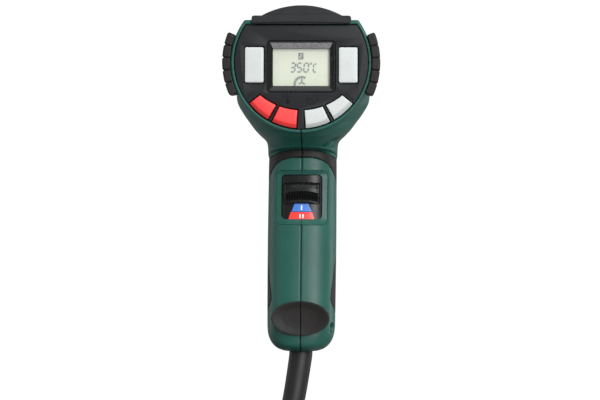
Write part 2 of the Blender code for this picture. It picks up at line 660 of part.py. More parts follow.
def add_blower(frame):
    can = [(15.5, 6.0), (15.5, 12.5), (16.5, 13.85), (43.0, 13.85), (44.0, 12.6), (44.0, 5.0)]
    finish(solid_turned("motor", can, frame), "steel")
    cup = turned("fan_housing", [(24.0, 14.2), (24.0, 15.8), (51.0, 15.8), (51.0, 14.2)], frame)
    duct = turned("duct", [(49.0, 25.6), (49.0, 27.2), (66.0, 27.2), (76.0, 18.9), (84.0, 18.9), (84.0, 17.3),
                           (75.2, 17.3), (65.4, 25.6)], frame)
    combine(cup, duct, "UNION")
    for k in range(3):
        a = math.radians(90 + 120 * k)
        u, v = math.cos(a), math.sin(a)
        corners = [(u * r - s * v, v * r + s * u) for r, s in ((15.0, -1.5), (26.4, -1.5), (26.4, 1.5), (15.0, 1.5))]
        combine(cup, prism_y("arm", corners, (49.2, 50.8), frame), "UNION")
    finish(clean(cup), "black")
    finish(rod("motor_shaft", (0, 44.3, 0), (0, 66.0, 0), 1.5, frame), "steel")
    fan = turned("fan_impeller", [(51.6, 1.8), (51.6, 8.0), (53.0, 9.0), (64.4, 9.0), (64.4, 1.8)], frame, 18)
    blades = 9
    for k in range(blades):
        rings = []
        for r in (8.4, 16.5, 24.4):
            twist = math.radians(52.0 - 22.0 * (r - 8.4) / 16.0)
            a = 2 * math.pi * k / blades
            out = Vector((math.cos(a), 0.0, math.sin(a)))
            across = Vector((-math.sin(a), 0.0, math.cos(a)))
            chord = across * math.cos(twist) + Vector((0, 1, 0)) * math.sin(twist)
            thick = across * math.sin(twist) - Vector((0, 1, 0)) * math.cos(twist)
            centre = out * r + Vector((0.0, 58.5, 0.0))
            rings.append([centre + chord * c + thick * t for c, t in ((-3.8, -0.5), (3.8, -0.5), (3.8, 0.5),
                                                                      (-3.8, 0.5))])
        combine(fan, loft("blade", rings, frame), "UNION")
    finish(clean(fan), "black")
    for side, name in ((-1, "inlet_screen_left"), (1, "inlet_screen_right")):
        screen = block(name, sorted((side * 27.6, side * 28.4)), (35.0, 47.0), (-7.0, 17.5), frame)
        for row in range(3):
            for col in range(2):
                y, z = 38.5 + 5.0 * col, -2.2 + 7.4 * row
                hole = block("mesh", (-40, 40), (y - 1.8, y + 1.8), (z - 2.8, z + 2.8), frame)
                combine(screen, hole, "DIFFERENCE")
        finish(clean(screen), "steel")


def add_heater(frame):
    finish(turned("heater_sleeve", [(85.0, 15.3), (85.0, 15.9), (212.0, 15.9), (212.0, 15.3)], frame), "wire")
    star = []
    for k in range(4):
        a = math.pi / 2 * k
        for u, v in ((11.5, -1.4), (11.5, 1.4), (2.0, 2.0)):
            star.append((u * math.cos(a) - v * math.sin(a), u * math.sin(a) + v * math.cos(a)))
    finish(prism_y("heater_core", star, (88.0, 206.0), frame), "ceramic", smooth=False)
    turns, per_turn, coil_r, wire_r = 6, 10, 13.2, 0.9
    count = turns * per_turn
    helix = [Vector((coil_r * math.cos(2 * math.pi * k / per_turn), 94.0 + 104.0 * k / count,
                     coil_r * math.sin(2 * math.pi * k / per_turn))) for k in range(count + 1)]
    finish(tube("heater_coil", helix, [wire_r] * len(helix), frame, 4), "wire")
    finish(rod("heat_sensor", (0.0, 206.3, 0.0), (0.0, 213.0, 0.0), 1.6, frame), "steel")
    inner = NOZZLE_R - NOZZLE_WALL
    profile = [(77.0, inner), (77.0, NOZZLE_R), (NOZZLE_END - 0.5, NOZZLE_R), (NOZZLE_END, NOZZLE_R - 0.3),
               (NOZZLE_END, NOZZLE_LIP_R), (NOZZLE_END - 1.6, NOZZLE_LIP_R), (NOZZLE_END - 2.6, inner)]
    finish(turned("nozzle_tube", profile, frame), "steel")
    collar = [(119.8, 17.4), (119.8, 26.3), (126.3, 26.3), (126.3, 30.2), (127.2, 30.6), (133.0, 30.6),
              (134.0, 29.8), (134.0, 24.2), (141.0, 24.2), (141.0, 22.2), (131.0, 22.2), (131.0, 17.4)]
    finish(turned("front_collar", collar, frame), "black")
    start, end = SHIELD_Y
    shield = [(start, 24.6), (start, 28.4), (start + 1.0, 28.8), (start + 6.0, 28.4), (start + 12.0, 26.4),
              (end - 5.0, 24.6), (end - 1.0, 23.8), (end, 22.4), (end, 19.6), (end - 1.6, 19.6),
              (end - 1.6, 21.8), (end - 5.0, 22.6), (start + 12.0, 24.4), (start + 8.0, 24.6)]
    shell = turned("heat_shield", shield, frame)
    for k in range(3):
        a = math.radians(30 + 60 * k)
        u, v = math.cos(a), math.sin(a)
        corners = [(u * r - s * v, v * r + s * u) for r, s in ((-40, -2.6), (40, -2.6), (40, 2.6), (-40, 2.6))]
        combine(shell, prism_y("vent", corners, (start + 16.0, end - 10.0), frame), "DIFFERENCE")
    finish(clean(shell), "black")


# ---------------------------------------------------------------- mains lead

def add_lead(frame):
    route = smooth_path(SLEEVE_ROUTE, 2)
    radii = []
    for point in route:
        down = (SLEEVE_ROUTE[0][2] - point.z) / (SLEEVE_ROUTE[0][2] - SLEEVE_ROUTE[-1][2])
        radii.append(6.7 - 0.5 * down if down < 0.55 else 6.43 - 1.9 * (down - 0.55))
    flange = [Vector(foot_point(-156.6)), Vector(foot_point(-158.1))]
    finish(tube("cord_sleeve", flange + route, [7.9, 7.9] + radii, frame), "rubber")
    add_tube("power_cord", smooth_path(LEAD_ROUTE, 3), frame)
    cx, cy = COIL_CENTRE
    inner, outer = COIL_R - COIL_HALF, COIL_R + COIL_HALF
    low, high = COIL_Z, COIL_Z + 2 * COIL_HALF
    soft = COIL_SOFT
    section = [(low, inner + soft), (low + soft, inner), (high - soft, inner), (high, inner + soft),
               (high, outer - soft), (high - soft, outer), (low + soft, outer), (low, outer - soft)]
    loops = [[(cx + r * u, cy + r * v, h) for h, r in section] for u, v in circle(1.0, 32)]
    finish(ring_loft("cord_coil", loops, frame), "rubber")
    add_tie(frame, inner, outer, low, high)
    add_plug(frame, high)


def add_tube(name, points, frame):
    """The plain tube of a cord: a poly curve with round, capped section."""
    curve = bpy.data.curves.new(name, "CURVE")
    curve.dimensions = "3D"
    curve.bevel_depth = CORD_R * MM
    curve.bevel_resolution = 2
    curve.use_fill_caps = True
    spline = curve.splines.new("POLY")
    spline.points.add(len(points) - 1)
    for knot, point in zip(spline.points, points):
        knot.co = (*(point * MM), 1.0)
    item = bpy.data.objects.new(name, curve)
    bpy.context.scene.collection.objects.link(item)
    item.parent = frame
    material = make_material("rubber").copy()
    material.name = name + "_material"
    curve.materials.append(material)
    return item


def add_tie(frame, inner, outer, low, high):
    """A strap round the coil's bundle, on the side clear of the tail."""
    cx, cy = COIL_CENTRE

    def section(d):
        r0, r1, z0, z1, s = inner - d, outer + d, low - d, high + d, COIL_SOFT + 0.4 * d
        return [(r0 + s, z0), (r1 - s, z0), (r1, z0 + s), (r1, z1 - s), (r1 - s, z1), (r0 + s, z1),
                (r0, z1 - s), (r0, z0 + s)]
    near, far = TIE_SLACK, TIE_SLACK + TIE_THICK
    loops = []
    for d, w in ((near, TIE_HALF), (near, -TIE_HALF), (far, -TIE_HALF), (far, TIE_HALF)):
        loops.append([(cx + r, cy - w, z) for r, z in section(d)])
    finish(ring_loft("cord_tie", loops, frame), "black")


def add_plug(frame, top):
    """The lead's tail on top of the coil and the plug, which leaves the ring along a tangent."""
    cx, cy = COIL_CENTRE
    start, end = TAIL_ANGLES
    rise = []
    steps = 14
    for k in range(steps + 1):
        t = k / steps
        a = math.radians(start + (end - start) * t)
        lift = CORD_R + GAP + TAIL_RISE * t * t * (3 - 2 * t)
        rise.append(Vector((cx + COIL_R * math.cos(a), cy + COIL_R * math.sin(a), top + lift)))
    add_tube("cord_tail", rise, frame)
    forward = Vector((math.sin(a), -math.cos(a), 0.0))
    side = Vector((math.cos(a), math.sin(a), 0.0))
    base = rise[-1] + forward * GAP
    up = Vector((0.0, 0.0, 1.0))
    stations = [(0.0, 5.2, 5.2, 2.0), (9.0, 6.4, 6.2, 2.0), (13.0, 8.6, 8.0, 2.2), (20.0, 13.0, 10.5, 2.6),
                (28.0, 16.8, 12.6, 3.0), (40.0, 18.3, 13.2, 3.2), (45.0, 18.5, 13.2, 3.2), (46.5, 17.6, 12.4, 3.2)]
    rings = []
    for ahead, half_w, half_h, n in stations:
        ring = []
        for u, v in circle(1.0, 28):
            w = math.copysign(abs(u) ** (2 / n), u) * half_w
            h = math.copysign(abs(v) ** (2 / n), v) * half_h
            ring.append(base + forward * ahead + side * w + up * h)
        rings.append(ring)
    finish(loft("plug_body", rings, frame), "rubber")
    for offset, name in ((-PIN_SPACING, "plug_pin_left"), (PIN_SPACING, "plug_pin_right")):
        foot = base + forward * (stations[-1][0] + GAP) + side * offset
        pin = tube(name, [foot, foot + forward * 17.6, foot + forward * 19.0], [2.4, 2.4, 1.4], frame)
        finish(pin, "steel")


def main():
    clear_scene()
    frame = add_empty("barrel_frame", None, (0.0, -GRIP_CENTRE_Y, -GRIP_CENTRE_Z))
    bpy.context.view_layer.update()
    add_casing(frame)
    add_grips(frame)
    add_heel_pads(frame)
    add_rests(frame)
    add_panel(frame)
    add_display(frame)
    add_slider(frame)
    add_handle_parts(frame)
    add_casing_screws(frame)
    add_blower(frame)
    add_heater(frame)
    add_lead(frame)


main()
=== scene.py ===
"""Looks of the heat gun: fine shells, soft rubber, keys, display and the stored lead.

Every piece is built in millimetres in the barrel's own frame (x right seen from behind, y forward
from the rear plane, z up from the barrel's axis), which BASE carries into the world.
"""
from math import asin, copysign, cos, exp, hypot, pi, radians, sin, sqrt

import bmesh
import bpy
from mathutils import Matrix, Vector


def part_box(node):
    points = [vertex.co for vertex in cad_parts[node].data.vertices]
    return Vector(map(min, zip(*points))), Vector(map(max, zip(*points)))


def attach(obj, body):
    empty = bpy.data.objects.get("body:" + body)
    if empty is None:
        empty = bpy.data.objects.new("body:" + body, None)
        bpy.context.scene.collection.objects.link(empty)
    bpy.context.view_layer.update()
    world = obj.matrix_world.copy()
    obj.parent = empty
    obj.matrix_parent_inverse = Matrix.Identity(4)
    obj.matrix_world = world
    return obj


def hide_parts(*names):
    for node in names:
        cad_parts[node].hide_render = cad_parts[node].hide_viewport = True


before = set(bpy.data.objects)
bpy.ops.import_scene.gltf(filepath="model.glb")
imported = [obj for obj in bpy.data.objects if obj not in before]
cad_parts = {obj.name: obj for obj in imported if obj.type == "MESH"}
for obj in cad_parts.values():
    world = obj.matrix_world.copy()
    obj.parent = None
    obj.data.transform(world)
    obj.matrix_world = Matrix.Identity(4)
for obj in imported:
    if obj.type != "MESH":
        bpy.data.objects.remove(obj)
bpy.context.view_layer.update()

MM = 0.001
BODY = "gun_body"


def node_box(name):
    low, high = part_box(name)
    return Vector(low), Vector(high)


TUBE_LOW, TUBE_HIGH = node_box("nozzle_tube")
BASE = Vector((0.0, node_box("housing_left")[0].y, (TUBE_LOW.z + TUBE_HIGH.z) / 2))


def local(point):
    """A world point in the barrel's frame, in millimetres."""
    return (Vector(point) - BASE) / MM


# ---------------------------------------------------------------- mesh helpers

def link(item):
    bpy.context.scene.collection.objects.link(item)
    return item


def add_mesh(name, verts, faces):
    mesh = bpy.data.meshes.new(name)
    mesh.from_pydata([BASE + Vector(v) * MM for v in verts], [], faces)
    work = bmesh.new()
    work.from_mesh(mesh)
    bmesh.ops.recalc_face_normals(work, faces=work.faces)
    work.to_mesh(mesh)
    work.free()
    return link(bpy.data.objects.new(name, mesh))


def loft(name, rings, closed=False):
    """Skin over rings of equal count, with a face at each end, or with the last ring joined to the first."""
    count = len(rings[0])
    verts = [p for ring in rings for p in ring]
    faces = [] if closed else [list(range(count)), list(range(len(verts) - count, len(verts)))]
    for r in range(len(rings) if closed else len(rings) - 1):
        s = (r + 1) % len(rings)
        for i in range(count):
            j = (i + 1) % count
            faces.append([r * count + i, r * count + j, s * count + j, s * count + i])
    return add_mesh(name, verts, faces)


def circle(r, count, phase=0.0):
    return [(r * cos(phase + 2 * pi * i / count), r * sin(phase + 2 * pi * i / count))
            for i in range(count)]


def turned(name, profile, count, solid=False):
    """(y, r) points turned about the barrel's axis: a closed section, or a solid with flat ends."""
    rings = [[(u * r, y, v * r) for u, v in circle(1.0, count)] for y, r in profile]
    return loft(name, rings, closed=not solid)


def rod(name, start, end, r, count):
    a, b = Vector(start), Vector(end)
    turn = (b - a).to_track_quat("Z", "Y")
    ring = [turn @ Vector((u, v, 0.0)) for u, v in circle(r, count)]
    return loft(name, [[centre + p for p in ring] for centre in (a, b)])


def block(name, x, y, z):
    return loft(name, [[(x[0], y[0], h), (x[1], y[0], h), (x[1], y[1], h), (x[0], y[1], h)] for h in z])


def prism_y(name, outline, y):
    return loft(name, [[(u, depth, v) for u, v in outline] for depth in y])


def prism_x(name, outline, x):
    return loft(name, [[(side, u, v) for u, v in outline] for side in x])


def rounded_rect(x, z, radius, steps=8):
    points = []
    for cx, cz, turn in ((x[1], z[1], 0), (x[0], z[1], 90), (x[0], z[0], 180), (x[1], z[0], 270)):
        mx = cx - radius if turn in (0, 270) else cx + radius
        mz = cz - radius if turn in (0, 90) else cz + radius
        for k in range(steps + 1):
            a = radians(turn + 90.0 * k / steps)
            points.append((mx + radius * cos(a), mz + radius * sin(a)))
    return points


def spoke(u, v, inner, outer, half):
    """Corners of a strip along the direction u, v, between two radii."""
    corners = ((inner, -half), (outer, -half), (outer, half), (inner, half))
    return [(u * r - v * w, v * r + u * w) for r, w in corners]


def smooth_path(points, steps):
    """Catmull-Rom curve through the points, with a number of steps in each span."""
    pts = [Vector(p) for p in points]
    pts = [2 * pts[0] - pts[1]] + pts + [2 * pts[-1] - pts[-2]]
    out = []
    for i in range(1, len(pts) - 2):
        a, b, c, d = pts[i - 1:i + 3]
        for k in range(steps):
            t = k / steps
            out.append(0.5 * (2 * b + (c - a) * t + (2 * a - 5 * b + 4 * c - d) * t * t
                              + (3 * b - a - 3 * c + d) * t ** 3))
    out.append(pts[-2])
    return out


def tube(name, points, radii, count):
    """A round bar along a path, with a radius at each point."""
    rings = []
    side = Vector((1.0, 0.0, 0.0))
    for i, point in enumerate(points):
        ahead = (points[min(i + 1, len(points) - 1)] - points[max(i - 1, 0)]).normalized()
        side = (side - ahead * side.dot(ahead)).normalized()
        other = ahead.cross(side)
        rings.append([point + side * u + other * v for u, v in circle(radii[i], count)])
    return loft(name, rings)


def offset_outline(points, distance):
    """Moves a counter-clockwise outline outward by a distance."""
    out = []
    for i, (px, pz) in enumerate(points):
        ax, az = points[i - 1]
        bx, bz = points[(i + 1) % len(points)]
        n1 = Vector((pz - az, ax - px)).normalized()
        n2 = Vector((bz - pz, px - bx)).normalized()
        mid = (n1 + n2).normalized()
        reach = distance / max(mid.dot(n1), 0.5)
        out.append((px + mid.x * reach, pz + mid.y * reach))
    return out


def bake_modifier(item, kind, **settings):
    """Adds a modifier, takes its result as the mesh and removes it."""
    step = item.modifiers.new(kind.lower(), kind)
    for key, value in settings.items():
        setattr(step, key, value)
    graph = bpy.context.evaluated_depsgraph_get()
    graph.update()
    mesh = bpy.data.meshes.new_from_object(item.evaluated_get(graph))
    item.modifiers.remove(step)
    item.data = mesh


def combine(item, other, operation):
    bake_modifier(item, "BOOLEAN", operation=operation, solver="EXACT", object=other)
    bpy.data.objects.remove(other, do_unlink=True)
    return item


def cut(item, other):
    return combine(item, other, "DIFFERENCE")


def trim(item, other):
    """Leaves only what the other solid covers."""
    return combine(item, other, "INTERSECT")


def soften(item, voxel, rounds, ratio):
    """Remeshes evenly and rounds every edge a little, as moulding does."""
    bake_modifier(item, "REMESH", mode="VOXEL", voxel_size=voxel * MM, adaptivity=0.0)
    bake_modifier(item, "SMOOTH", factor=0.5, iterations=rounds)
    bake_modifier(item, "DECIMATE", decimate_type="COLLAPSE", ratio=ratio)


def bevel(item, width, angle):
    bake_modifier(item, "BEVEL", width=width * MM, segments=2, limit_method="ANGLE",
                  angle_limit=radians(angle), use_clamp_overlap=True)


def join(name, items):
    """One object from several, each staying a separate closed body."""
    work = bmesh.new()
    for item in items:
        work.from_mesh(item.data)
        bpy.data.objects.remove(item, do_unlink=True)
    mesh = bpy.data.meshes.new(name)
    work.to_mesh(mesh)
    work.free()
    return link(bpy.data.objects.new(name, mesh))


def finish_piece(item, name, material, node=None, angle=32.0, body=BODY):
    """Names a piece, shades it, gives it its material, hangs it on its body and hides the part node it stands
    for.
    """
    item.name = name
    item.data.materials.clear()
    item.data.materials.append(material)
    item.data.shade_smooth()
    item.data.set_sharp_from_angle(angle=radians(angle))
    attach(item, body)
    if node:
        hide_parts(node)
    return item


# ---------------------------------------------------------------- materials

def new_material(name):
    material = bpy.data.materials.new(name)
    material.use_nodes = True
    nodes = material.node_tree.nodes
    return material, material.node_tree, nodes["Principled BSDF"]


def feed(node, **inputs):
    """Sets inputs, named with _ for a space, to a constant or links them to another node's output."""
    for name, value in inputs.items():
        socket = node.inputs[name.replace("_", " ")]
        if isinstance(value, bpy.types.NodeSocket):
            node.id_data.links.new(value, socket)
        else:
            socket.default_value = value


def object_place(tree):
    return tree.nodes.new("ShaderNodeTexCoord").outputs["Object"]


def object_axis(tree, axis):
    split = tree.nodes.new("ShaderNodeSeparateXYZ")
    feed(split, Vector=object_place(tree))
    return split.outputs[axis]


def object_noise(tree, scale, detail=2.0, roughness=0.5, stretch=None):
    """Noise in the object's own coordinates; scale counts features per metre."""
    source = object_place(tree)
    if stretch:
        mapping = tree.nodes.new("ShaderNodeMapping")
        feed(mapping, Scale=stretch, Vector=source)
        source = mapping.outputs["Vector"]
    noise = tree.nodes.new("ShaderNodeTexNoise")
    feed(noise, Scale=scale, Detail=detail, Roughness=roughness, Vector=source)
    return noise.outputs["Fac"]


def ramp(tree, source, stops):
    """Colours an output by (position, colour) stops."""
    node = tree.nodes.new("ShaderNodeValToRGB")
    points = node.color_ramp.elements
    for point, (position, color) in zip(points, (stops[0], stops[-1])):
        point.position, point.color = position, color
    for position, color in stops[1:-1]:
        points.new(position).color = color
    feed(node, Fac=source)
    return node.outputs["Color"]


def map_range(tree, source, low, high, start=0.3, end=0.7):
    node = tree.nodes.new("ShaderNodeMapRange")
    feed(node, Value=source, From_Min=start, From_Max=end, To_Min=low, To_Max=high)
    return node.outputs["Result"]


def add_bump(tree, shader, height, strength, distance, after=None):
    node = tree.nodes.new("ShaderNodeBump")
    feed(node, Strength=strength, Distance=distance * MM, Height=height)
    if after:
        feed(node, Normal=after)
    feed(shader, Normal=node.outputs["Normal"])
    return node.outputs["Normal"]


def shade(color, factor):
    return tuple(min(c * factor, 1.0) for c in color) + (1.0,)


def moulded(name, color, roughness, grain, grain_depth, variation, spread=0.08, specular=0.5):
    """Moulded plastic or rubber: fine grain, faint clouding of colour and uneven gloss."""
    material, tree, shader = new_material(name)
    clouds = object_noise(tree, 45.0, 4.0, 0.55)
    patches = object_noise(tree, 160.0, 3.0, 0.6)
    tones = [(0.35, shade(color, 1 - variation)), (0.65, shade(color, 1 + variation))]
    feed(shader, Specular_IOR_Level=specular, Base_Color=ramp(tree, clouds, tones),
         Roughness=map_range(tree, patches, roughness - spread / 2, roughness + spread / 2))
    first = add_bump(tree, shader, object_noise(tree, grain, 2.0, 0.6), 0.6, grain_depth)
    add_bump(tree, shader, object_noise(tree, 90.0), 0.25, 0.06, first)
    return material


def metal(name, color, roughness, stretch=(1.0, 1.0, 1.0), grain=900.0):
    """Drawn or plated metal: streaks along one axis, a little uneven."""
    material, tree, shader = new_material(name)
    streaks = object_noise(tree, grain, 4.0, 0.6, stretch)
    feed(shader, Metallic=1.0, Roughness=map_range(tree, streaks, roughness - 0.06, roughness + 0.08),
         Base_Color=ramp(tree, streaks, [(0.3, shade(color, 0.85)), (0.7, shade(color, 1.08))]))
    add_bump(tree, shader, streaks, 0.4, 0.01)
    return material


GREEN = moulded("casing_green_look", (0.0110, 0.0780, 0.0600), 0.42, 3000.0, 0.018, 0.07, 0.06, 0.38)
RUBBER = moulded("soft_rubber_look", (0.0105, 0.0092, 0.0088), 0.52, 2400.0, 0.03, 0.15, 0.10, 0.28)
BLACK = moulded("black_plastic_look", (0.0110, 0.0120, 0.0135), 0.44, 3200.0, 0.02, 0.12, 0.08, 0.32)
PANEL = moulded("panel_black_look", (0.0110, 0.0128, 0.0150), 0.50, 3400.0, 0.02, 0.10, 0.08, 0.25)
GLOSS = moulded("black_gloss_look", (0.0080, 0.0082, 0.0086), 0.27, 1800.0, 0.004, 0.10, 0.05, 0.35)
PALE = moulded("key_pale_look", (0.520, 0.550, 0.540), 0.44, 2600.0, 0.015, 0.02, 0.08)
RED = moulded("key_red_look", (0.860, 0.045, 0.045), 0.44, 2600.0, 0.015, 0.04, 0.08)
WHITE = moulded("part_white_look", (0.70, 0.70, 0.67), 0.5, 2000.0, 0.02, 0.04)
CERAMIC = moulded("ceramic_white_look", (0.72, 0.68, 0.60), 0.75, 1500.0, 0.05, 0.06)
MICA = moulded("mica_brown_look", (0.28, 0.20, 0.13), 0.35, 700.0, 0.04, 0.25)
BOARD = moulded("board_green_look", (0.015, 0.16, 0.045), 0.35, 900.0, 0.02, 0.15)
CORD = moulded("cord_rubber_look", (0.0085, 0.0085, 0.0090), 0.50, 1900.0, 0.02, 0.12, 0.10, 0.4)
PLUG = moulded("plug_black_look", (0.0130, 0.0130, 0.0135), 0.48, 2200.0, 0.02, 0.12, 0.10, 0.4)
BLUE = moulded("label_blue_look", (0.060, 0.190, 0.600), 0.30, 2200.0, 0.006, 0.05)
LABEL_RED = moulded("label_red_look", (0.880, 0.050, 0.045), 0.30, 2200.0, 0.006, 0.05)
LABEL_WHITE = moulded("label_white_look", (0.82, 0.82, 0.82), 0.35, 2200.0, 0.006, 0.02)
STEEL = metal("zinc_steel_look", (0.62, 0.62, 0.60), 0.30, (1.0, 1.0, 1.0), 500.0)
WIRE = metal("heating_wire_look", (0.33, 0.29, 0.26), 0.42)
CAN = metal("motor_steel_look", (0.55, 0.55, 0.56), 0.28, (0.3, 1.0, 0.3), 700.0)
ALUMINIUM = metal("heat_sink_look", (0.78, 0.78, 0.79), 0.32, (1.0, 1.0, 0.1), 900.0)
BRASS = metal("pin_brass_look", (0.72, 0.66, 0.50), 0.22, (1.0, 1.0, 1.0), 400.0)


def make_outlet_steel():
    """Stainless tube, drawn along the barrel, straw and blue from heat towards its end."""
    material, tree, shader = new_material("outlet_steel_look")
    shift = tree.nodes.new("ShaderNodeMath")
    shift.operation = "MULTIPLY_ADD"
    shift.inputs[1].default_value = 0.018
    tree.links.new(object_noise(tree, 60.0, 3.0, 0.6), shift.inputs[0])
    tree.links.new(object_axis(tree, "Y"), shift.inputs[2])
    end = TUBE_HIGH.y + 0.009
    along = map_range(tree, shift.outputs["Value"], 0.0, 1.0, end - 0.075, end)
    steel = [(0.0, (0.56, 0.55, 0.53, 1)), (0.45, (0.60, 0.53, 0.41, 1)), (0.70, (0.55, 0.40, 0.22, 1)),
             (0.84, (0.38, 0.24, 0.28, 1)), (0.95, (0.20, 0.25, 0.40, 1)), (1.0, (0.24, 0.30, 0.38, 1))]
    streaks = object_noise(tree, 1500.0, 4.0, 0.6, (1.0, 0.03, 1.0))
    feed(shader, Metallic=1.0, Base_Color=ramp(tree, along, steel),
         Roughness=map_range(tree, streaks, 0.22, 0.40))
    add_bump(tree, shader, streaks, 0.35, 0.012)
    return material


def make_display_with_glow():
    """Reflective liquid crystal: pale green grey, a little greener to the foot, with a faint painted glow."""
    material, tree, shader = new_material("display_pale_painted_glow_look")
    low, high = node_box("display_module")
    rise = map_range(tree, object_axis(tree, "Z"), 0.0, 1.0, low.z, high.z)
    tones = ramp(tree, rise, [(0.0, (0.44, 0.49, 0.35, 1)), (0.45, (0.50, 0.53, 0.42, 1)),
                              (1.0, (0.49, 0.51, 0.42, 1))])
    # The emission is a painted glow: the crystal shines a little in its own colour, though it is no lamp.
    feed(shader, Base_Color=tones, Emission_Color=tones, Emission_Strength=0.10,
         Roughness=map_range(tree, object_noise(tree, 300.0), 0.30, 0.42))
    add_bump(tree, shader, object_noise(tree, 5000.0), 0.2, 0.004)
    return material


def make_lens():
    """Thin clear window over the display."""
    material, tree, shader = new_material("lens_clear_look")
    feed(shader, Base_Color=(0.95, 0.97, 0.95, 1.0), Alpha=0.10,
         Roughness=map_range(tree, object_noise(tree, 80.0), 0.04, 0.09))
    return material


def make_speckled_painted_light():
    """Speckled top bevel of the display's frame, painted pale grey as a painted highlight of light from below.
    """
    material, tree, shader = new_material("frame_speckle_painted_light_look")
    spots = object_noise(tree, 1500.0, 5.0, 0.75)
    # The pale grey of the speckle is painted light; the frame itself is black like its other bevels.
    feed(shader, Base_Color=ramp(tree, spots, [(0.36, (0.07, 0.068, 0.074, 1)), (0.64, (0.34, 0.33, 0.35, 1))]),
         Roughness=map_range(tree, spots, 0.30, 0.55))
    add_bump(tree, shader, spots, 0.8, 0.06)
    return material


def make_ink():
    material, tree, shader = new_material("display_ink_look")
    tones = [(0.3, (0.030, 0.042, 0.045, 1)), (0.7, (0.045, 0.060, 0.060, 1))]
    feed(shader, Base_Color=ramp(tree, object_noise(tree, 400.0), tones), Roughness=0.4)
    return material


OUTLET = make_outlet_steel()
DISPLAY_WITH_PAINTED_GLOW = make_display_with_glow()
LENS = make_lens()
SPECKLE_PAINTED_LIGHT = make_speckled_painted_light()
INK = make_ink()


# ---------------------------------------------------------------- camera, light and stage

VIEW_DISTANCE = 1.30
VIEW_HALF_WIDTH = 0.1698         # of the picture, at the rear plane
VIEW_TURN = radians(1.7)
VIEW_ROLL = radians(0.2)
VIEW_CENTRE = (-0.4, 0.0, -78.0)
LAMP_TARGET = (0.0, 30.0, -60.0)
LAMPS = [                   # name, azimuth, elevation, distance, size, power
    ("key_softbox", 27.0, 16.0, 1.5, (0.5, 1.3), 14.0),
    ("fill_softbox", -62.0, 10.0, 1.7, (0.5, 1.2), 1.5),
    ("top_softbox", 10.0, 72.0, 1.4, (1.2, 0.9), 7.0),
    ("rim_right", 118.0, 12.0, 1.5, (0.5, 1.3), 5.0),
    ("rim_left", -118.0, 12.0, 1.5, (0.5, 1.3), 2.2),
]


def add_camera():
    data = bpy.data.cameras.new("camera")
    data.sensor_width = 36.0
    data.lens = 18.0 * VIEW_DISTANCE / VIEW_HALF_WIDTH
    data.clip_end = 50.0
    camera = link(bpy.data.objects.new("camera", data))
    target = BASE + Vector(VIEW_CENTRE) * MM
    back = Vector((sin(VIEW_TURN), -cos(VIEW_TURN), 0.0))
    camera.location = target + back * VIEW_DISTANCE
    aim = back.to_track_quat("Z", "Y").to_matrix().to_4x4()
    camera.rotation_euler = (aim @ Matrix.Rotation(VIEW_ROLL, 4, "Z")).to_euler()
    bpy.context.scene.camera = camera


def add_area(name, azimuth, elevation, distance, size, power):
    """A softbox facing the gun; azimuth 0 is behind the gun, near the camera, and grows to the right."""
    data = bpy.data.lights.new(name, "AREA")
    data.shape = "RECTANGLE"
    data.size, data.size_y = size
    data.energy = power
    lamp = link(bpy.data.objects.new(name, data))
    a, e = radians(azimuth), radians(elevation)
    away = Vector((sin(a) * cos(e), -cos(a) * cos(e), sin(e)))
    lamp.location = BASE + Vector(LAMP_TARGET) * MM + away * distance
    lamp.rotation_euler = away.to_track_quat("Z", "Y").to_euler()


def add_light():
    world = bpy.data.worlds.new("studio")
    world.use_nodes = True
    feed(world.node_tree.nodes["Background"], Color=(1.0, 1.0, 1.0, 1.0), Strength=0.30)
    bpy.context.scene.world = world
    bpy.context.scene.view_settings.view_transform = "Standard"
    for row in LAMPS:
        add_area(*row)


def add_stage():
    """A pale floor under the stored lead and a bright round wall a long way off."""
    floor_z = local((0, 0, node_box("cord_coil")[0].z)).z - 1.8
    count, floor_r, cove_r, wall_h = 96, 5.0, 1.6, 6.0
    work = bmesh.new()
    rings = []
    profile = [(0.02, 0.0), (1.0, 0.0), (3.0, 0.0), (floor_r - cove_r, 0.0)]
    profile += [(floor_r - cove_r + cove_r * sin(a), cove_r - cove_r * cos(a))
                for a in (radians(90 * k / 10) for k in range(1, 11))]
    profile.append((floor_r, wall_h))
    centre = BASE + Vector((0.0, 60.0, floor_z)) * MM
    for r, h in profile:
        rings.append([work.verts.new(centre + Vector((u * r, v * r, h))) for u, v in circle(1.0, count)])
    for a, b in zip(rings, rings[1:]):
        for i in range(count):
            j = (i + 1) % count
            work.faces.new([a[i], a[j], b[j], b[i]])
    work.faces.new(rings[0])
    bmesh.ops.recalc_face_normals(work, faces=work.faces)
    mesh = bpy.data.meshes.new("studio_floor")
    work.to_mesh(mesh)
    work.free()
    floor = link(bpy.data.objects.new("studio_floor", mesh))
    floor.data.shade_smooth()
    material, tree, shader = new_material("studio_floor_look")
    tones = [(0.3, (0.86, 0.86, 0.86, 1)), (0.7, (0.88, 0.88, 0.88, 1))]
    feed(shader, Base_Color=ramp(tree, object_noise(tree, 2.0), tones), Roughness=0.9,
         Emission_Color=(1.0, 1.0, 1.0, 1.0), Emission_Strength=0.75)
    floor.data.materials.append(material)
    floor.visible_diffuse = False
    floor.visible_glossy = False


# ---------------------------------------------------------------- casing

GAP = 0.3
WALL = 2.4
SEAM = 0.11                 # half the width of the joint between left and right pieces
HEAD_R = 40.2
BARREL_R = 32.0
FRONT_R = 29.4
SHOULDER = (34.0, 62.0)
BARREL_END = 126.0
TOP_FLAT_Z = 24.0
TOP_FLAT_END = 46.0
DOME_R = 48.0
DOME_TOP_Z = 33.0
PANEL_R = 38.0
REST_Y = -2.0
HANDLE_LEAN = 0.24
HANDLE_WALL = 4.2
GRIP_SKIN = 1.6

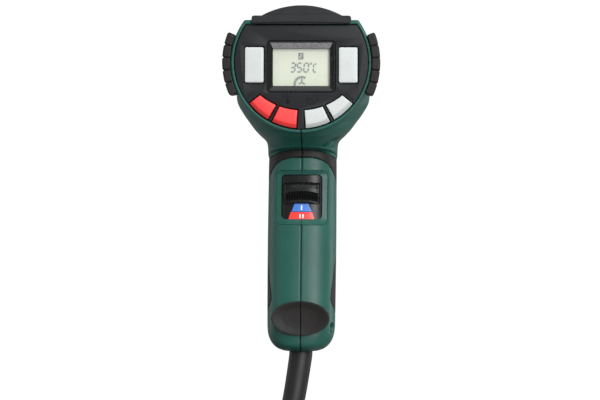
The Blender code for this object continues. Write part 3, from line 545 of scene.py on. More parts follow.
NECK = [                    # z, half width, rear y, front y, exponent: stations down to the ledge
    (-6.0, 38.6, 7.0, 82.0, 2.1), (-14.0, 38.9, 6.0, 80.0, 2.1), (-21.5, 38.2, 4.0, 78.0, 2.1),
    (-28.3, 34.4, 1.9, 75.0, 2.1), (-33.0, 31.0, 1.2, 72.6, 2.1), (-37.4, 27.7, 1.8, 70.0, 2.2),
    (-41.0, 24.3, 5.2, 67.6, 2.3), (-43.4, 21.7, 9.4, 66.1, 2.3), (-45.2, 20.7, 12.8, 65.0, 2.4),
    (-48.0, 20.3, 16.8, 64.0, 2.4), (-56.0, 20.1, 19.0, 62.6, 2.5),
]
STATIONS = [                # the same for the handle
    (-38.0, 19.7, 26.0, 65.2, 2.6), (-50.5, 19.7, 22.8, 62.9, 2.6), (-56.0, 19.75, 21.7, 61.6, 2.6),
    (-75.0, 19.8, 17.0, 57.0, 2.6), (-100.0, 19.85, 11.0, 51.0, 2.6), (-125.0, 19.7, 5.0, 45.0, 2.6),
    (-145.0, 19.5, 0.9, 40.2, 2.6), (-153.0, 19.2, -0.3, 38.0, 2.6), (-157.5, 18.0, -0.2, 35.6, 2.5),
    (-160.8, 15.8, 0.6, 32.6, 2.4), (-163.0, 13.0, 3.8, 28.8, 2.3), (-164.2, 9.6, 7.4, 24.6, 2.2),
]
LEDGE = (11.5, -46.63, -0.207)    # the neck ends on a plane through this y and z, with this slope
FOOT_FLOOR = (-160.3, 16.0, 0.4, 33.0, 2.4)
SCREWS = [(20.6, -44.4), (58.0, -45.0), (10.0, -151.0), (31.0, -151.0), (115.5, -22.0), (115.5, 22.0)]
SCREW_SEAT_X = 9.0


def fine_stations(stations):
    """The stations with smooth ones between them."""
    steps, out = 5, []
    for i in range(len(stations) - 1):
        before = stations[max(i - 1, 0)]
        a, b = stations[i], stations[i + 1]
        after = stations[min(i + 2, len(stations) - 1)]
        for k in range(steps):
            t = k / steps
            row = [a[0] + (b[0] - a[0]) * t]
            for j in range(1, 5):
                m0 = (b[j] - before[j]) / (b[0] - before[0]) * (b[0] - a[0])
                m1 = (after[j] - a[j]) / (after[0] - a[0]) * (b[0] - a[0])
                row.append((2 * t ** 3 - 3 * t ** 2 + 1) * a[j] + (t ** 3 - 2 * t ** 2 + t) * m0
                           + (3 * t ** 2 - 2 * t ** 3) * b[j] + (t ** 3 - t ** 2) * m1)
            out.append(tuple(row))
    return out + [stations[-1]]


FINE = fine_stations(STATIONS)


def shoulder_radius(y):
    t = min(max((y - SHOULDER[0]) / (SHOULDER[1] - SHOULDER[0]), 0.0), 1.0)
    if y > SHOULDER[1]:
        return BARREL_R + (FRONT_R - BARREL_R) * (y - SHOULDER[1]) / (BARREL_END - SHOULDER[1])
    return HEAD_R + (BARREL_R - HEAD_R) * t * t * (3.0 - 2.0 * t)


def dome_height(x, radius=DOME_R):
    return DOME_TOP_Z - DOME_R + sqrt(radius * radius - x * x)


def dome_outline(radius, half, top):
    """Region above the top cover's arc, as (x, z) points."""
    xs = [-half + 2 * half * k / 48 for k in range(49)]
    return [(x, dome_height(x, radius)) for x in xs] + [(half, top), (-half, top)]


def barrel_form(name, inset, count=128):
    """The head and barrel, inset by a wall, with the flat and the dome cut at the top."""
    ys = [3.3, 12.0, 22.0] + [SHOULDER[0] + (SHOULDER[1] - SHOULDER[0]) * k / 14 for k in range(15)]
    if inset > 0.0:
        profile = [(-1.0, PANEL_R + GAP), (3.3, PANEL_R + GAP)]
        tail = [(BARREL_END + 1.0, FRONT_R - inset)]
    else:
        profile = [(0.0, HEAD_R - 0.8), (0.3, HEAD_R - 0.25), (0.9, HEAD_R)]
        tail = [(BARREL_END - 0.6, FRONT_R - inset), (BARREL_END, FRONT_R - 0.6)]
    profile += [(y, shoulder_radius(y) - inset) for y in ys]
    profile += [(y, shoulder_radius(y) - inset) for y in (80.0, 104.0, BARREL_END - 2.0)] + tail
    body = turned(name, profile, count, solid=True)
    cut(body, block("flat_cut", (-60, 60), (-5, TOP_FLAT_END + inset), (TOP_FLAT_Z - inset, 60)))
    arc = prism_y("dome_cut", dome_outline(DOME_R - inset, 42.0, 60.0), (TOP_FLAT_END + inset - 0.01, 80.0))
    return cut(body, arc)


def swell(t, n):
    """A cosine or sine on its way from an ellipse, at n = 2, to a rounded box."""
    return copysign(abs(t) ** (2 / n), t)


def handle_ring(station, inset, count):
    z, half_width, rear, front, n = station
    a, b = half_width - inset, (front - rear) / 2 - inset
    return [(swell(u, n) * a, (front + rear) / 2 + swell(v, n) * b, z)
            for u, v in circle(1.0, count, pi / count)]


def handle_form(name, inset, bottom=-170.0):
    return loft(name, [handle_ring(s, inset, 72) for s in FINE if s[0] >= bottom])


def neck_form(name, stations, inset, rise, count):
    """The neck, cut off at the ledge or a distance above it."""
    y, z, slope = LEDGE
    zone = [(side, z + rise + slope * (side - y)) for side in (-20.0, 95.0)] + [(95.0, 5.0), (-20.0, 5.0)]
    neck = loft(name, [handle_ring(s, inset, count) for s in stations])
    return trim(neck, prism_x("zone", zone, (-60, 60)))


def rear_surface(x, z):
    """The y of the handle's rear skin on its straight stretch."""
    a, b, n = 19.4, 20.0, 2.6
    return 55.0 + HANDLE_LEAN * z - b * (1 - min(abs(x) / a, 1.0) ** n) ** (1 / n)


def grip_outline():
    """Side view (y, z) of the rubber skin."""
    upper = [(90.0, -66.6), (36.0, -54.2), (29.0, -52.4), (25.0, -49.9), (22.4, -48.3), (-20.0, -45.4)]
    flank = smooth_path([(21.8, -52.2, 0), (25.4, -56.1, 0), (29.6, -62.1, 0), (33.6, -66.0, 0),
                         (39.0, -71.4, 0), (41.0, -80.0, 0), (38.2, -92.0, 0), (29.5, -106.0, 0),
                         (19.5, -116.2, 0), (14.2, -125.7, 0), (10.8, -133.8, 0), (12.4, -138.2, 0),
                         (19.5, -142.6, 0), (34.0, -146.5, 0)], 10)
    return upper + [(-20.0, -48.0)] + [(p.x, p.y) for p in flank] + [(90.0, -158.0)]


def skin_pocket(zone_outline, depth):
    """What a cut to the depth takes off the handle's surface, inside a side view outline."""
    pocket = handle_form("pocket", -1.2)
    cut(pocket, handle_form("pocket_core", depth))
    return trim(pocket, prism_x("zone", zone_outline, (-60, 60)))


WINDOW_X = 11.7
WINDOW_Z = (-88.9, -63.4)


def window_outline(step, radius):
    """Between the slider window's opening, at 0, and its frame's outer edge, at 1."""
    x = WINDOW_X + 3.2 * step
    return rounded_rect((-x, x), (WINDOW_Z[0] - 3.2 * step, WINDOW_Z[1] + 2.2 * step), radius, 10)


def surface_loop(outline, depth):
    """An (x, z) outline laid at a depth below the handle's rear skin, with its long sides divided."""
    points = []
    for k, (x, z) in enumerate(outline):
        u, v = outline[(k + 1) % len(outline)]
        count = 20 if hypot(u - x, v - z) > 5.0 else 1
        points += [(x + (u - x) * j / count, z + (v - z) * j / count) for j in range(count)]
    return [(x, rear_surface(x, z) + depth, z) for x, z in points]


def build_window_frame():
    """Sloped frame of the slider's window, in two halves."""
    loops = [surface_loop(window_outline(step, radius), depth) for step, radius, depth in (
        (0.99, 3.0, 2.1), (0.99, 3.0, 0.12), (0.965, 2.95, 0.02), (0.90, 2.9, 0.03), (0.84, 2.85, 0.10),
        (0.80, 2.8, 0.20), (0.16, 2.5, 1.28), (0.10, 2.45, 1.34), (0.04, 2.4, 1.42), (0.0, 2.4, 1.6),
        (0.0, 2.4, 2.1))]
    whole = loft("frame", loops, closed=True)
    for name, span in (("window_frame_left", (-40, -SEAM)), ("window_frame_right", (SEAM, 40))):
        half = link(bpy.data.objects.new(name, whole.data.copy()))
        trim(half, block("half", span, (-20, 60), (-120, -40)))
        bake_modifier(half, "TRIANGULATE")
        finish_piece(half, name, GREEN, "housing_" + name.split("_")[-1], 30.0)
    bpy.data.objects.remove(whole, do_unlink=True)


def build_casing():
    """Two hollow halves with the slider's track, vents and screw bores, and the dark seam between them."""
    stations = STATIONS[:1] + STATIONS[2:7:2] + [FOOT_FLOOR]
    cavity = loft("cavity", [handle_ring(s, HANDLE_WALL, 20) for s in stations])
    combine(cavity, neck_form("neck_room", NECK[1::2], HANDLE_WALL, WALL, 20), "UNION")
    combine(cavity, barrel_form("room", WALL, 64), "UNION")
    for y, z in SCREWS:
        cut(cavity, rod("boss", (-40, y, z), (40, y, z), 3.4, 16))
    shell = combine(barrel_form("shell", 0.0), handle_form("handle", 0.0), "UNION")
    combine(shell, neck_form("neck", fine_stations(NECK), 0.0, 0.0, 96), "UNION")
    cut(shell, cavity)
    cut(shell, skin_pocket(offset_outline(grip_outline(), GAP), GRIP_SKIN + GAP))
    track = handle_form("track", 2.2, bottom=-145.0)
    trim(track, block("track_box", (-13.9, 13.9), (-10, 34), (-99.4, -54.3)))
    cut(shell, track)
    cut(shell, prism_y("window", window_outline(1.0, 3.0), (-14.0, 30.0)))
    exit_y = 16.6                   # of the hole's axis, at z = -160
    cut(shell, rod("exit_hole", (0.0, exit_y + HANDLE_LEAN * 1.5, -158.5),
                   (0.0, exit_y - HANDLE_LEAN * 10, -170.0), 7.1, 48))
    for side in (-1, 1):
        for z in (-4.0, 3.0, 10.0, 17.0):
            slot_outline = rounded_rect((35.5, 52.0), (z - 1.6, z + 1.6), 1.55, 6)
            cut(shell, prism_x("slot", slot_outline, sorted((side * 24.0, side * 60.0))))
    halves = {"housing_left": (-80, -SEAM), "housing_right": (SEAM, 80)}
    for name, span in halves.items():
        half = link(bpy.data.objects.new(name + "_fine", shell.data.copy()))
        trim(half, block("half", span, (-20, 150), (-180, 60)))
        for y, z in SCREWS:
            if name == "housing_right":
                cut(half, rod("clear", (-1, y, z), (60, y, z), 1.85, 24))
                cut(half, rod("sink", (SCREW_SEAT_X, y, z), (60, y, z), 3.0, 32))
            else:
                cut(half, rod("pilot", (1, y, z), (-9.5, y, z), 1.8, 24))
        soften(half, 0.45, 3, 0.30)
        finish_piece(half, name + "_shell", GREEN, name, 60.0)
    trim(shell, block("slice", (-SEAM + 0.01, SEAM - 0.01), (-20, 124), (-180, 60)))
    finish_piece(shell, "casing_seam", BLACK)


def build_grips():
    """Rubber skins with the fine seam between them and a soft edge."""
    for name, span in (("grip_left", (-60, -SEAM)), ("grip_right", (SEAM, 60))):
        skin = handle_form(name + "_fine", 0.0)
        cut(skin, handle_form("core", GRIP_SKIN))
        trim(skin, prism_x("zone", grip_outline(), span))
        soften(skin, 0.40, 2, 0.4)
        finish_piece(skin, name + "_skin", RUBBER, name, 60.0)


def build_heel_pad():
    """Two dished rubber halves at the heel."""
    centre_z, half_x, half_z, rear = -145.0, 16.5, 9.75, -2.0
    dish = ((0.02, 1.25), (0.35, 1.2), (0.62, 0.95), (0.80, 0.45), (0.90, 0.12), (0.98, 0.0),
            (1.0, -2.0), (1.0, -4.0))        # share of the pad's radius, depth
    for name, sign in (("heel_pad_left", -1), ("heel_pad_right", 1)):
        outline = [(half_x * u, centre_z + half_z * v) for u, v in circle(1.0, 120)]
        pad = prism_y(name + "_fine", outline, (rear, 20.0))
        cut(pad, handle_form("core", -0.25))
        trim(pad, block("half", sorted((sign * SEAM, sign * 60)), (-20, 9.0), (-180, -100)))
        cut(pad, loft("dish", [[(half_x * r * u, rear + depth, centre_z + half_z * r * v)
                                for u, v in circle(1.0, 96)] for r, depth in dish]))
        soften(pad, 0.30, 2, 0.5)
        finish_piece(pad, name + "_skin", RUBBER, name, 60.0)


REST_TURN = radians(1.4)         # the side rests sit a little below the barrel's level
REST_R = 44.8


def build_rests():
    """Ribbed side rests, the bar across the top and the cover behind it."""
    inner_r, half_angle, ribs, steps = HEAD_R + 0.02, radians(23.8), 5, 130
    stations = [(REST_Y, 44.1), (REST_Y + 0.3, 44.6), (REST_Y + 0.7, REST_R), (4.0, REST_R), (9.0, REST_R),
                (11.6, 44.75), (14.0, 44.4), (18.0, 43.6), (22.0, 42.7), (25.0, 42.0), (27.0, 41.2)]
    for side, name in ((-1, "side_rest_left"), (1, "side_rest_right")):
        rings = []
        for y, r in stations:
            outer = []
            for k in range(steps + 1):
                t = k / steps
                a = -half_angle + 2 * half_angle * t - REST_TURN
                cell = (t * ribs) % 1.0
                gap = min(cell, 1.0 - cell) * 2 * half_angle * REST_R / ribs
                groove = 0.8 * exp(-(gap / 0.40) ** 4) if 0.04 < t < 0.96 else 0.0
                fade = min(max((17.0 - y) / 5.0, 0.0), 1.0)
                end = 0.7 * max(0.0, 1.0 - min(t, 1 - t) * 2 * half_angle * REST_R / 1.2) ** 2
                rr = r - groove * fade - end
                outer.append((side * rr * cos(a), y, rr * sin(a)))
            inner = [(side * inner_r * cos(a), y, inner_r * sin(a))
                     for a in (half_angle * (1 - k / 20) - REST_TURN for k in range(41))]
            rings.append(outer + inner)
        rest = loft(name + "_fine", rings)
        for k in range(1, ribs):
            a = -half_angle + k * 2 * half_angle / ribs - REST_TURN
            corners = spoke(side * cos(a), sin(a), 40.0, 50.0, 0.35)
            cut(rest, prism_y("groove", corners, (REST_Y - 1.0, REST_Y + 0.8)))
        soften(rest, 0.26, 1, 0.3)
        finish_piece(rest, name + "_skin", RUBBER, name, 60.0)
    bar = prism_y("top_bar", rounded_rect((-28.2, 28.2), (21.6, 26.3), 1.4, 8), (REST_Y, 8.0))
    cut(bar, block("step", (-40, 40), (-0.35, 20), (10, TOP_FLAT_Z + 0.25)))
    soften(bar, 0.24, 2, 0.4)
    edge = [Vector((x, REST_Y - 0.1, 22.75 - 0.55 * (x / 28.0) ** 2)) for x in range(-27, 28, 3)]
    finish_piece(tube("edge", edge, [0.42] * len(edge), 16), "top_rest_edge", GLOSS)
    finish_piece(bar, "top_rest_bar", BLACK, "top_rest", 60.0)
    half, base = 26.0, TOP_FLAT_Z + 0.25
    arc = dome_outline(DOME_R, half, 0.0)[:-2]
    cover = prism_y("cover", [(-half, base)] + arc + [(half, base)], (8.3, TOP_FLAT_END - 0.3))
    for side in (-1, 1):
        for k in range(4):
            y = 16.0 + 6.0 * k
            vent = rounded_rect((side * 15.0 - 6.5, side * 15.0 + 6.5), (y - 1.3, y + 1.3), 1.25, 6)
            rings = [[(u, v, dome_height(u) + lift) for u, v in vent] for lift in (-1.6, 3.0)]
            cut(cover, loft("vent", rings))
    soften(cover, 0.36, 3, 0.35)
    finish_piece(cover, "dome_cover", BLACK, "top_cover", 60.0)


# ---------------------------------------------------------------- control panel

PANEL_CHORD_Z = 21.2
DISPLAY_X = (-19.3, 19.3)
DISPLAY_Z = (-16.9, 12.1)
VIEW_X = (-16.15, 16.15)
VIEW_Z = (-13.3, 7.8)
SIDE_KEY = (26.6, -1.6, 5.3, 10.0)
ARC_INNER = (8.8, 36.0)
ARC_OUTER = PANEL_R - 0.6
ARC_CENTRE_R = 32.8
ARC_KEYS = {"key_heat_down": (-51.3, -30.2), "key_heat_up": (-26.0, -4.2),
            "key_air_down": (4.2, 26.0), "key_air_up": (30.2, 51.3)}
PANEL_FACE = 0.5


def arc_outline(start, end, inset, outer_r):
    """Outline of a key in the arc, between two angles from straight down, pulled in by an inset."""
    (centre, radius), steps = ARC_INNER, 24
    points = []
    for k in range(steps + 1):
        a = radians(start + (end - start) * k / steps) + inset / outer_r * (1 - 2 * k / steps)
        points.append((outer_r * sin(a), -outer_r * cos(a)))
    for k in range(steps, -1, -1):
        a = radians(start + (end - start) * k / steps) + inset / radius * (1 - 2 * k / steps)
        reach = radius + inset
        t = -centre * cos(a) + sqrt((centre * cos(a)) ** 2 + reach ** 2 - centre ** 2)
        points.append((t * sin(a), -t * cos(a)))
    return points


def side_outline(side, inset):
    cx, cz, hx, hz = SIDE_KEY
    return rounded_rect((side * cx - hx + inset, side * cx + hx - inset),
                        (cz - hz + inset, cz + hz - inset), max(1.0 - inset, 0.3), 6)


def bar_mark(start, end, half, y, height=0.3):
    """A raised stroke between two (x, z) points, standing on a face at y."""
    a, b = Vector(start), Vector(end)
    side = Vector((b.y - a.y, a.x - b.x)).normalized() * half
    corners = [a + side, b + side, b - side, a - side]
    return prism_y("stroke", [tuple(c) for c in corners], (y + 0.1, y - height))


def ring_mark(centre, radius, half, y, start=0.0, end=360.0, height=0.3):
    """A raised arc stroke."""
    pieces = []
    steps = max(int((end - start) / 18), 3)
    for k in range(steps):
        a, b = (radians(start + (end - start) * (k + s) / steps) for s in (0, 1))
        pieces.append(bar_mark((centre[0] + radius * cos(a), centre[1] + radius * sin(a)),
                               (centre[0] + radius * cos(b), centre[1] + radius * sin(b)), half, y, height))
    return pieces


def build_panel():
    """The panel's dark face, with the holes for the display and keys and its raised marks."""
    steps = 160

    def outline(r, chord):
        a = asin(chord / r)
        turns = [pi - a + (pi + 2 * a) * k / steps for k in range(steps + 1)]
        return [(r * cos(t), r * sin(t)) for t in turns]
    rings = [[(u, y, v) for u, v in outline(PANEL_R - i, PANEL_CHORD_Z - i)]
             for y, i in ((3.0, 0.0), (1.1, 0.0), (0.75, 0.08), (0.56, 0.28), (PANEL_FACE, 0.6))]
    panel = loft("panel_fine", rings)
    holes = [rounded_rect((DISPLAY_X[0] - GAP, DISPLAY_X[1] + GAP),
                          (DISPLAY_Z[0] - GAP, DISPLAY_Z[1] + GAP), 2.4)]
    holes += [side_outline(side, -0.7) for side in (-1, 1)]
    holes += [arc_outline(start, end, -0.75, PANEL_R + 2.0) for start, end in ARC_KEYS.values()]
    for hole in holes:
        cut(panel, prism_y("hole", hole, (-5, 8)))
    bevel(panel, 0.16, 40.0)
    finish_piece(panel, "panel_face", PANEL, "control_panel", 35.0)
    y = PANEL_FACE
    marks = [bar_mark(start, end, half, y) for start, end, half in (
        ((-7.4, -16.6), (-7.4, -21.2), 0.42), ((-30.6, -20.0), (-26.3, -16.2), 0.20),
        ((25.6, -17.2), (30.0, -21.6), 0.20), ((-10.2, -18.2), (-8.6, -18.2), 0.16),
        ((-10.2, -19.6), (-8.6, -19.6), 0.16))]
    marks += ring_mark((-7.4, -22.3), 0.75, 0.36, y)
    marks += ring_mark((6.2, -20.6), 3.1, 0.18, y, 150, 420)
    for k in range(3):
        a = radians(90 + 120 * k)
        marks.append(bar_mark((6.2 + 0.5 * cos(a), -20.6 + 0.5 * sin(a)),
                              (6.2 + 2.1 * cos(a - 0.5), -20.6 + 2.1 * sin(a - 0.5)), 0.42, y))
    finish_piece(join("marks", marks), "panel_marks", GLOSS)


def build_keys():
    """Keys with rounded edges; the arc's have a sloped outer lip and small raised marks."""
    for side, name in ((-1, "key_left"), (1, "key_right")):
        rings = [[(u, y, v) for u, v in side_outline(side, i)]
                 for y, i in ((4.0, 0.0), (-0.45, 0.0), (-0.75, 0.12), (-0.92, 0.34), (-1.0, 0.75),
                              (-1.05, 2.4))]
        parts = [loft("key", rings), prism_y("flange", side_outline(side, -0.1), (3.5, 4.5))]
        cx, cz = side * SIDE_KEY[0], SIDE_KEY[1]
        if side < 0:
            for up in (-1, 1):
                tip = (cx, cz + up * 1.9)
                parts += [bar_mark((cx + dx, cz + up * 0.6), tip, 0.14, -1.04, 0.1) for dx in (-1.3, 1.3)]
        else:
            parts += ring_mark((cx, cz), 1.3, 0.14, -1.04, 60, 390, 0.1)
            parts.append(bar_mark((cx - 0.2, cz + 2.0), (cx - 0.2, cz + 0.4), 0.14, -1.04, 0.1))
        finish_piece(join(name, parts), name + "_cap", PALE, name, 38.0, body=name)
    for name, (start, end) in ARC_KEYS.items():
        foot = ARC_OUTER - 1.9          # of the sloped lip
        rings = []
        for y, i, outer in ((4.0, 0.0, ARC_OUTER), (0.7, 0.0, ARC_OUTER), (0.45, 0.06, ARC_OUTER - 0.14),
                            (-0.62, 0.10, foot + 0.12), (-0.84, 0.26, foot - 0.10),
                            (-0.94, 0.62, foot - 0.45), (-0.99, 1.9, foot - 1.7)):
            rings.append([(u, y, v) for u, v in arc_outline(start, end, i, outer)])
        flange = prism_y("flange", arc_outline(start, end, -0.1, PANEL_R - 0.9), (3.5, 4.5))
        parts = [loft("key", rings), flange]
        a = radians((start + end) / 2)
        cx, cz = (ARC_CENTRE_R - 1.2) * sin(a), -(ARC_CENTRE_R - 1.2) * cos(a)
        parts.append(bar_mark((cx - 1.1, cz), (cx + 1.1, cz), 0.15, -0.99, 0.1))
        if name.endswith("up"):
            parts.append(bar_mark((cx, cz - 1.1), (cx, cz + 1.1), 0.15, -0.985, 0.1))
        color, slot_name = (RED, "key_red") if "heat" in name else (PALE, "key_pale")
        finish_piece(join(name, parts), name + "_cap", color, name, 38.0, body=name)


SEGMENTS = {"0": "abcdef", "2": "abged", "3": "abgcd", "5": "afgcd", "C": "afed"}


def digit(char, x, z, width, height, thick, y, slant=0.10):
    """Seven segment character with its foot's left corner at x, z."""
    top, middle, w = height, height / 2, width
    ends = {"a": ((0, top), (w, top)), "b": ((w, top), (w, middle)), "c": ((w, middle), (w, 0)),
            "d": ((0, 0), (w, 0)), "e": ((0, middle), (0, 0)), "f": ((0, top), (0, middle)),
            "g": ((0, middle), (w, middle))}
    strokes = []
    for segment in SEGMENTS[char]:
        a, b = (Vector(p) for p in ends[segment])
        along = (b - a).normalized() * thick * 0.52
        a, b = a + along, b - along
        points = [(x + p.x + slant * p.y, z + p.y) for p in (a, b)]
        strokes.append(bar_mark(points[0], points[1], thick / 2, y, 0.05))
    return strokes


def build_display():
    """Frame with a deep bevel, clear window, and the figures on the liquid crystal."""
    outside, opening = (DISPLAY_X, DISPLAY_Z), (VIEW_X, VIEW_Z)
    loops = []
    for (x, z), grow, y, radius in (
            (outside, 0.0, 3.1, 2.1), (outside, 0.0, 0.75, 2.1), (outside, -0.12, 0.5, 2.0),
            (outside, -0.75, 0.5, 1.5), (outside, -0.95, 0.7, 1.4),
            (opening, 0.1, 2.5, 0.7), (opening, 0.0, 2.7, 0.6), (opening, 0.0, 3.1, 0.6)):
        edge = rounded_rect((x[0] - grow, x[1] + grow), (z[0] - grow, z[1] + grow), radius, 10)
        loops.append([(u, y, v) for u, v in edge])
    frame_item = loft("frame", loops, closed=True)
    finish_piece(frame_item, "display_bezel", GLOSS, "display_frame", 28.0)
    # Only the top bevel gets the pale speckle, as painted light from below; the other bevels stay black gloss.
    top_z, low_z = DISPLAY_Z[1] - 1.0, VIEW_Z[1] + 0.15
    rings = [[(-17.6, 0.70 - lift, top_z), (17.6, 0.70 - lift, top_z),
              (16.2, 2.44 - lift, low_z), (-16.2, 2.44 - lift, low_z)] for lift in (0.0, 0.06)]
    finish_piece(loft("bevel_face", rings), "bezel_top_bevel", SPECKLE_PAINTED_LIGHT)
    lens = prism_y("lens", rounded_rect((-18.9, 18.9), (-16.5, 11.7), 1.5), (3.4, 4.5))
    finish_piece(lens, "display_lens", LENS, "display_window")
    face = 4.78
    ink = []
    for char, x, width, height, thick in (("3", -6.3, 2.45, 5.0, 0.74), ("5", -2.65, 2.45, 5.0, 0.74),
                                          ("0", 1.25, 2.45, 5.0, 0.74), ("C", 6.6, 1.9, 4.5, 0.68)):
        ink += digit(char, x, -5.25, width, height, thick, face)
    ink += ring_mark((5.5, -0.5), 0.42, 0.19, face, height=0.05)
    ink.append(prism_y("badge", rounded_rect((-1.75, 1.15), (1.8, 5.6), 0.4), (face + 0.1, face - 0.05)))
    gauge_x, gauge_z, fan_z, inner, outer, cells = 0.25, -12.2, -11.2, 3.35, 4.75, 9
    for k in range(cells):
        a0 = radians(192 - 15.0 * k)
        a1 = a0 - radians(11.5)
        corners = [(gauge_x + r * cos(a), gauge_z + r * sin(a))
                   for r, a in ((inner, a0), (outer, a0), (outer, a1), (inner, a1))]
        ink.append(prism_y("cell", corners, (face + 0.1, face - 0.05)))
    for k in range(3):
        a = radians(90 + 120 * k)
        tip = (gauge_x + 2.0 * cos(a), fan_z + 1.9 * sin(a))
        ink.append(bar_mark((gauge_x, fan_z), tip, 0.36, face, 0.05))
    finish_piece(join("ink", ink), "display_figures", INK)
    badge = join("badge_digit", digit("2", -1.05, 2.55, 1.15, 2.3, 0.30, face - 0.06, 0.04))
    finish_piece(badge, "display_badge", DISPLAY_WITH_PAINTED_GLOW)


# ---------------------------------------------------------------- slider

SLIDER_X = 13.4
SLIDER_Z = (-90.4, -54.7)
CARRIAGE_DEPTH = 2.5


def field_solid(name, xs, zs, front, back, place=lambda x, z: (x, z)):
    """A plate between two depth functions of x and z, which place may carry elsewhere."""
    n, m = len(xs), len(zs)
    verts = []
    for depth in (front, back):
        for z in zs:
            for x in xs:
                u, v = place(x, z)
                verts.append((u, depth(x, z), v))
    faces = []
    for j in range(m - 1):
        for i in range(n - 1):
            a = j * n + i
            faces.append([a, a + 1, a + n + 1, a + n])
            b = a + n * m
            faces.append([b, b + n, b + n + 1, b + 1])
    border = list(range(n)) + [j * n + n - 1 for j in range(1, m)]
    border += [(m - 1) * n + i for i in range(n - 2, -1, -1)] + [j * n for j in range(m - 2, 0, -1)]
    for k, a in enumerate(border):
        b = border[(k + 1) % len(border)]
        faces.append([a, b, b + n * m, a + n * m])
    return add_mesh(name, verts, faces)


def ribbing(at, pitch):
    """A wave between 0 and 1, at its height where at is 0."""
    return 0.5 + 0.5 * cos(2 * pi * at / pitch)


def blend_points(points, at):
    """Height at a place along (place, height) points, with smooth steps between them."""
    for (a, p), (b, q) in zip(points, points[1:]):
        if a >= at >= b:
            t = (at - a) / (b - a)
            return p + (q - p) * t * t * (3 - 2 * t)
    return points[-1][1] if at < points[-1][0] else points[0][1]


THUMB_X = 10.4                  # the raised thumb pad ends at this x
THUMB = [                       # z, depth
    (-68.0, 2.5), (-68.5, 0.5), (-69.4, -0.5), (-71.0, -0.95), (-72.9, -1.1), (-73.6, -0.7), (-77.6, 0.9),
    (-78.3, 0.7), (-79.2, 0.95), (-79.8, 2.5),
]


def slider_depth(x, z):
    """How far the slider's face lies below the handle's surface."""
    if abs(x) > THUMB_X or not -80.0 < z < -67.4:
        return CARRIAGE_DEPTH
    tooth = 0.45 * abs(((x + 40.0) / 2.9) % 1.0 * 2 - 1) if abs(x) < 4.4 else 0.2
    bow = 0.016 * x * x
    depth = blend_points(THUMB, z + bow * (0.25 if z > -70.5 else 0.75) - (tooth if z > -70.0 else 0.0))
    if -78.0 < z + bow < -72.7 and abs(x) < 9.2:
        inside = min((-72.7 - z - bow) / 0.5, (z + bow + 78.0) / 0.5, 1.0)
        depth += 1.1 * inside * ribbing(x, 1.45) ** 0.7
    edge = min((THUMB_X - abs(x)) / 0.9, 1.0)
    return CARRIAGE_DEPTH + (depth - CARRIAGE_DEPTH) * sqrt(max(edge, 0.0))


def build_slider():
    xs = [-SLIDER_X + 2 * SLIDER_X * k / 148 for k in range(149)]
    zs = [SLIDER_Z[0] + (SLIDER_Z[1] - SLIDER_Z[0]) * k / 150 for k in range(151)]
    body = field_solid("slider", xs, zs, lambda x, z: rear_surface(x, z) + slider_depth(x, z),
                       lambda x, z: rear_surface(x, z) + HANDLE_WALL)
    finish_piece(body, "slider_thumb", GLOSS, "stage_slider", 42.0, body="stage_slider")

    def plate(name, corners, lift, material):
        """A trapezoid of film on the carriage, given by two (z, left, right) rows."""
        (z0, l0, r0), (z1, l1, r1) = corners

        def across(x, z):
            """Places a unit square's point on the trapezoid."""
            return l0 + (l1 - l0) * z + (r0 - l0 + (r1 - l1 - r0 + l0) * z) * x, z0 + (z1 - z0) * z
        film = field_solid(name, [k / 24 for k in range(25)], [k / 6 for k in range(7)],
                           lambda x, z: rear_surface(*across(x, z)) + CARRIAGE_DEPTH - lift,
                           lambda x, z: rear_surface(*across(x, z)) + CARRIAGE_DEPTH + 0.1, across)
        return finish_piece(film, name, material, body="stage_slider")
    plate("label_stage_1", ((-80.2, -4.1, 3.9), (-84.6, -5.7, 5.7)), 0.08, BLUE)
    plate("label_stage_2", ((-84.95, -6.3, 6.1), (-89.2, -7.5, 7.4)), 0.08, LABEL_RED)
    for name, x, z in (("label_mark_1", 0.0, (-81.0, -83.7)), ("label_mark_2", -0.85, (-86.1, -88.4)),
                       ("label_mark_3", 0.85, (-86.1, -88.4))):
        plate(name, ((z[0], x - 0.36, x + 0.36), (z[1], x - 0.36, x + 0.36)), 0.13, LABEL_WHITE)


# ---------------------------------------------------------------- front end and screws

NOZZLE_R = 17.0
NOZZLE_END = 251.0
SHIELD_Y = (134.3, 190.0)


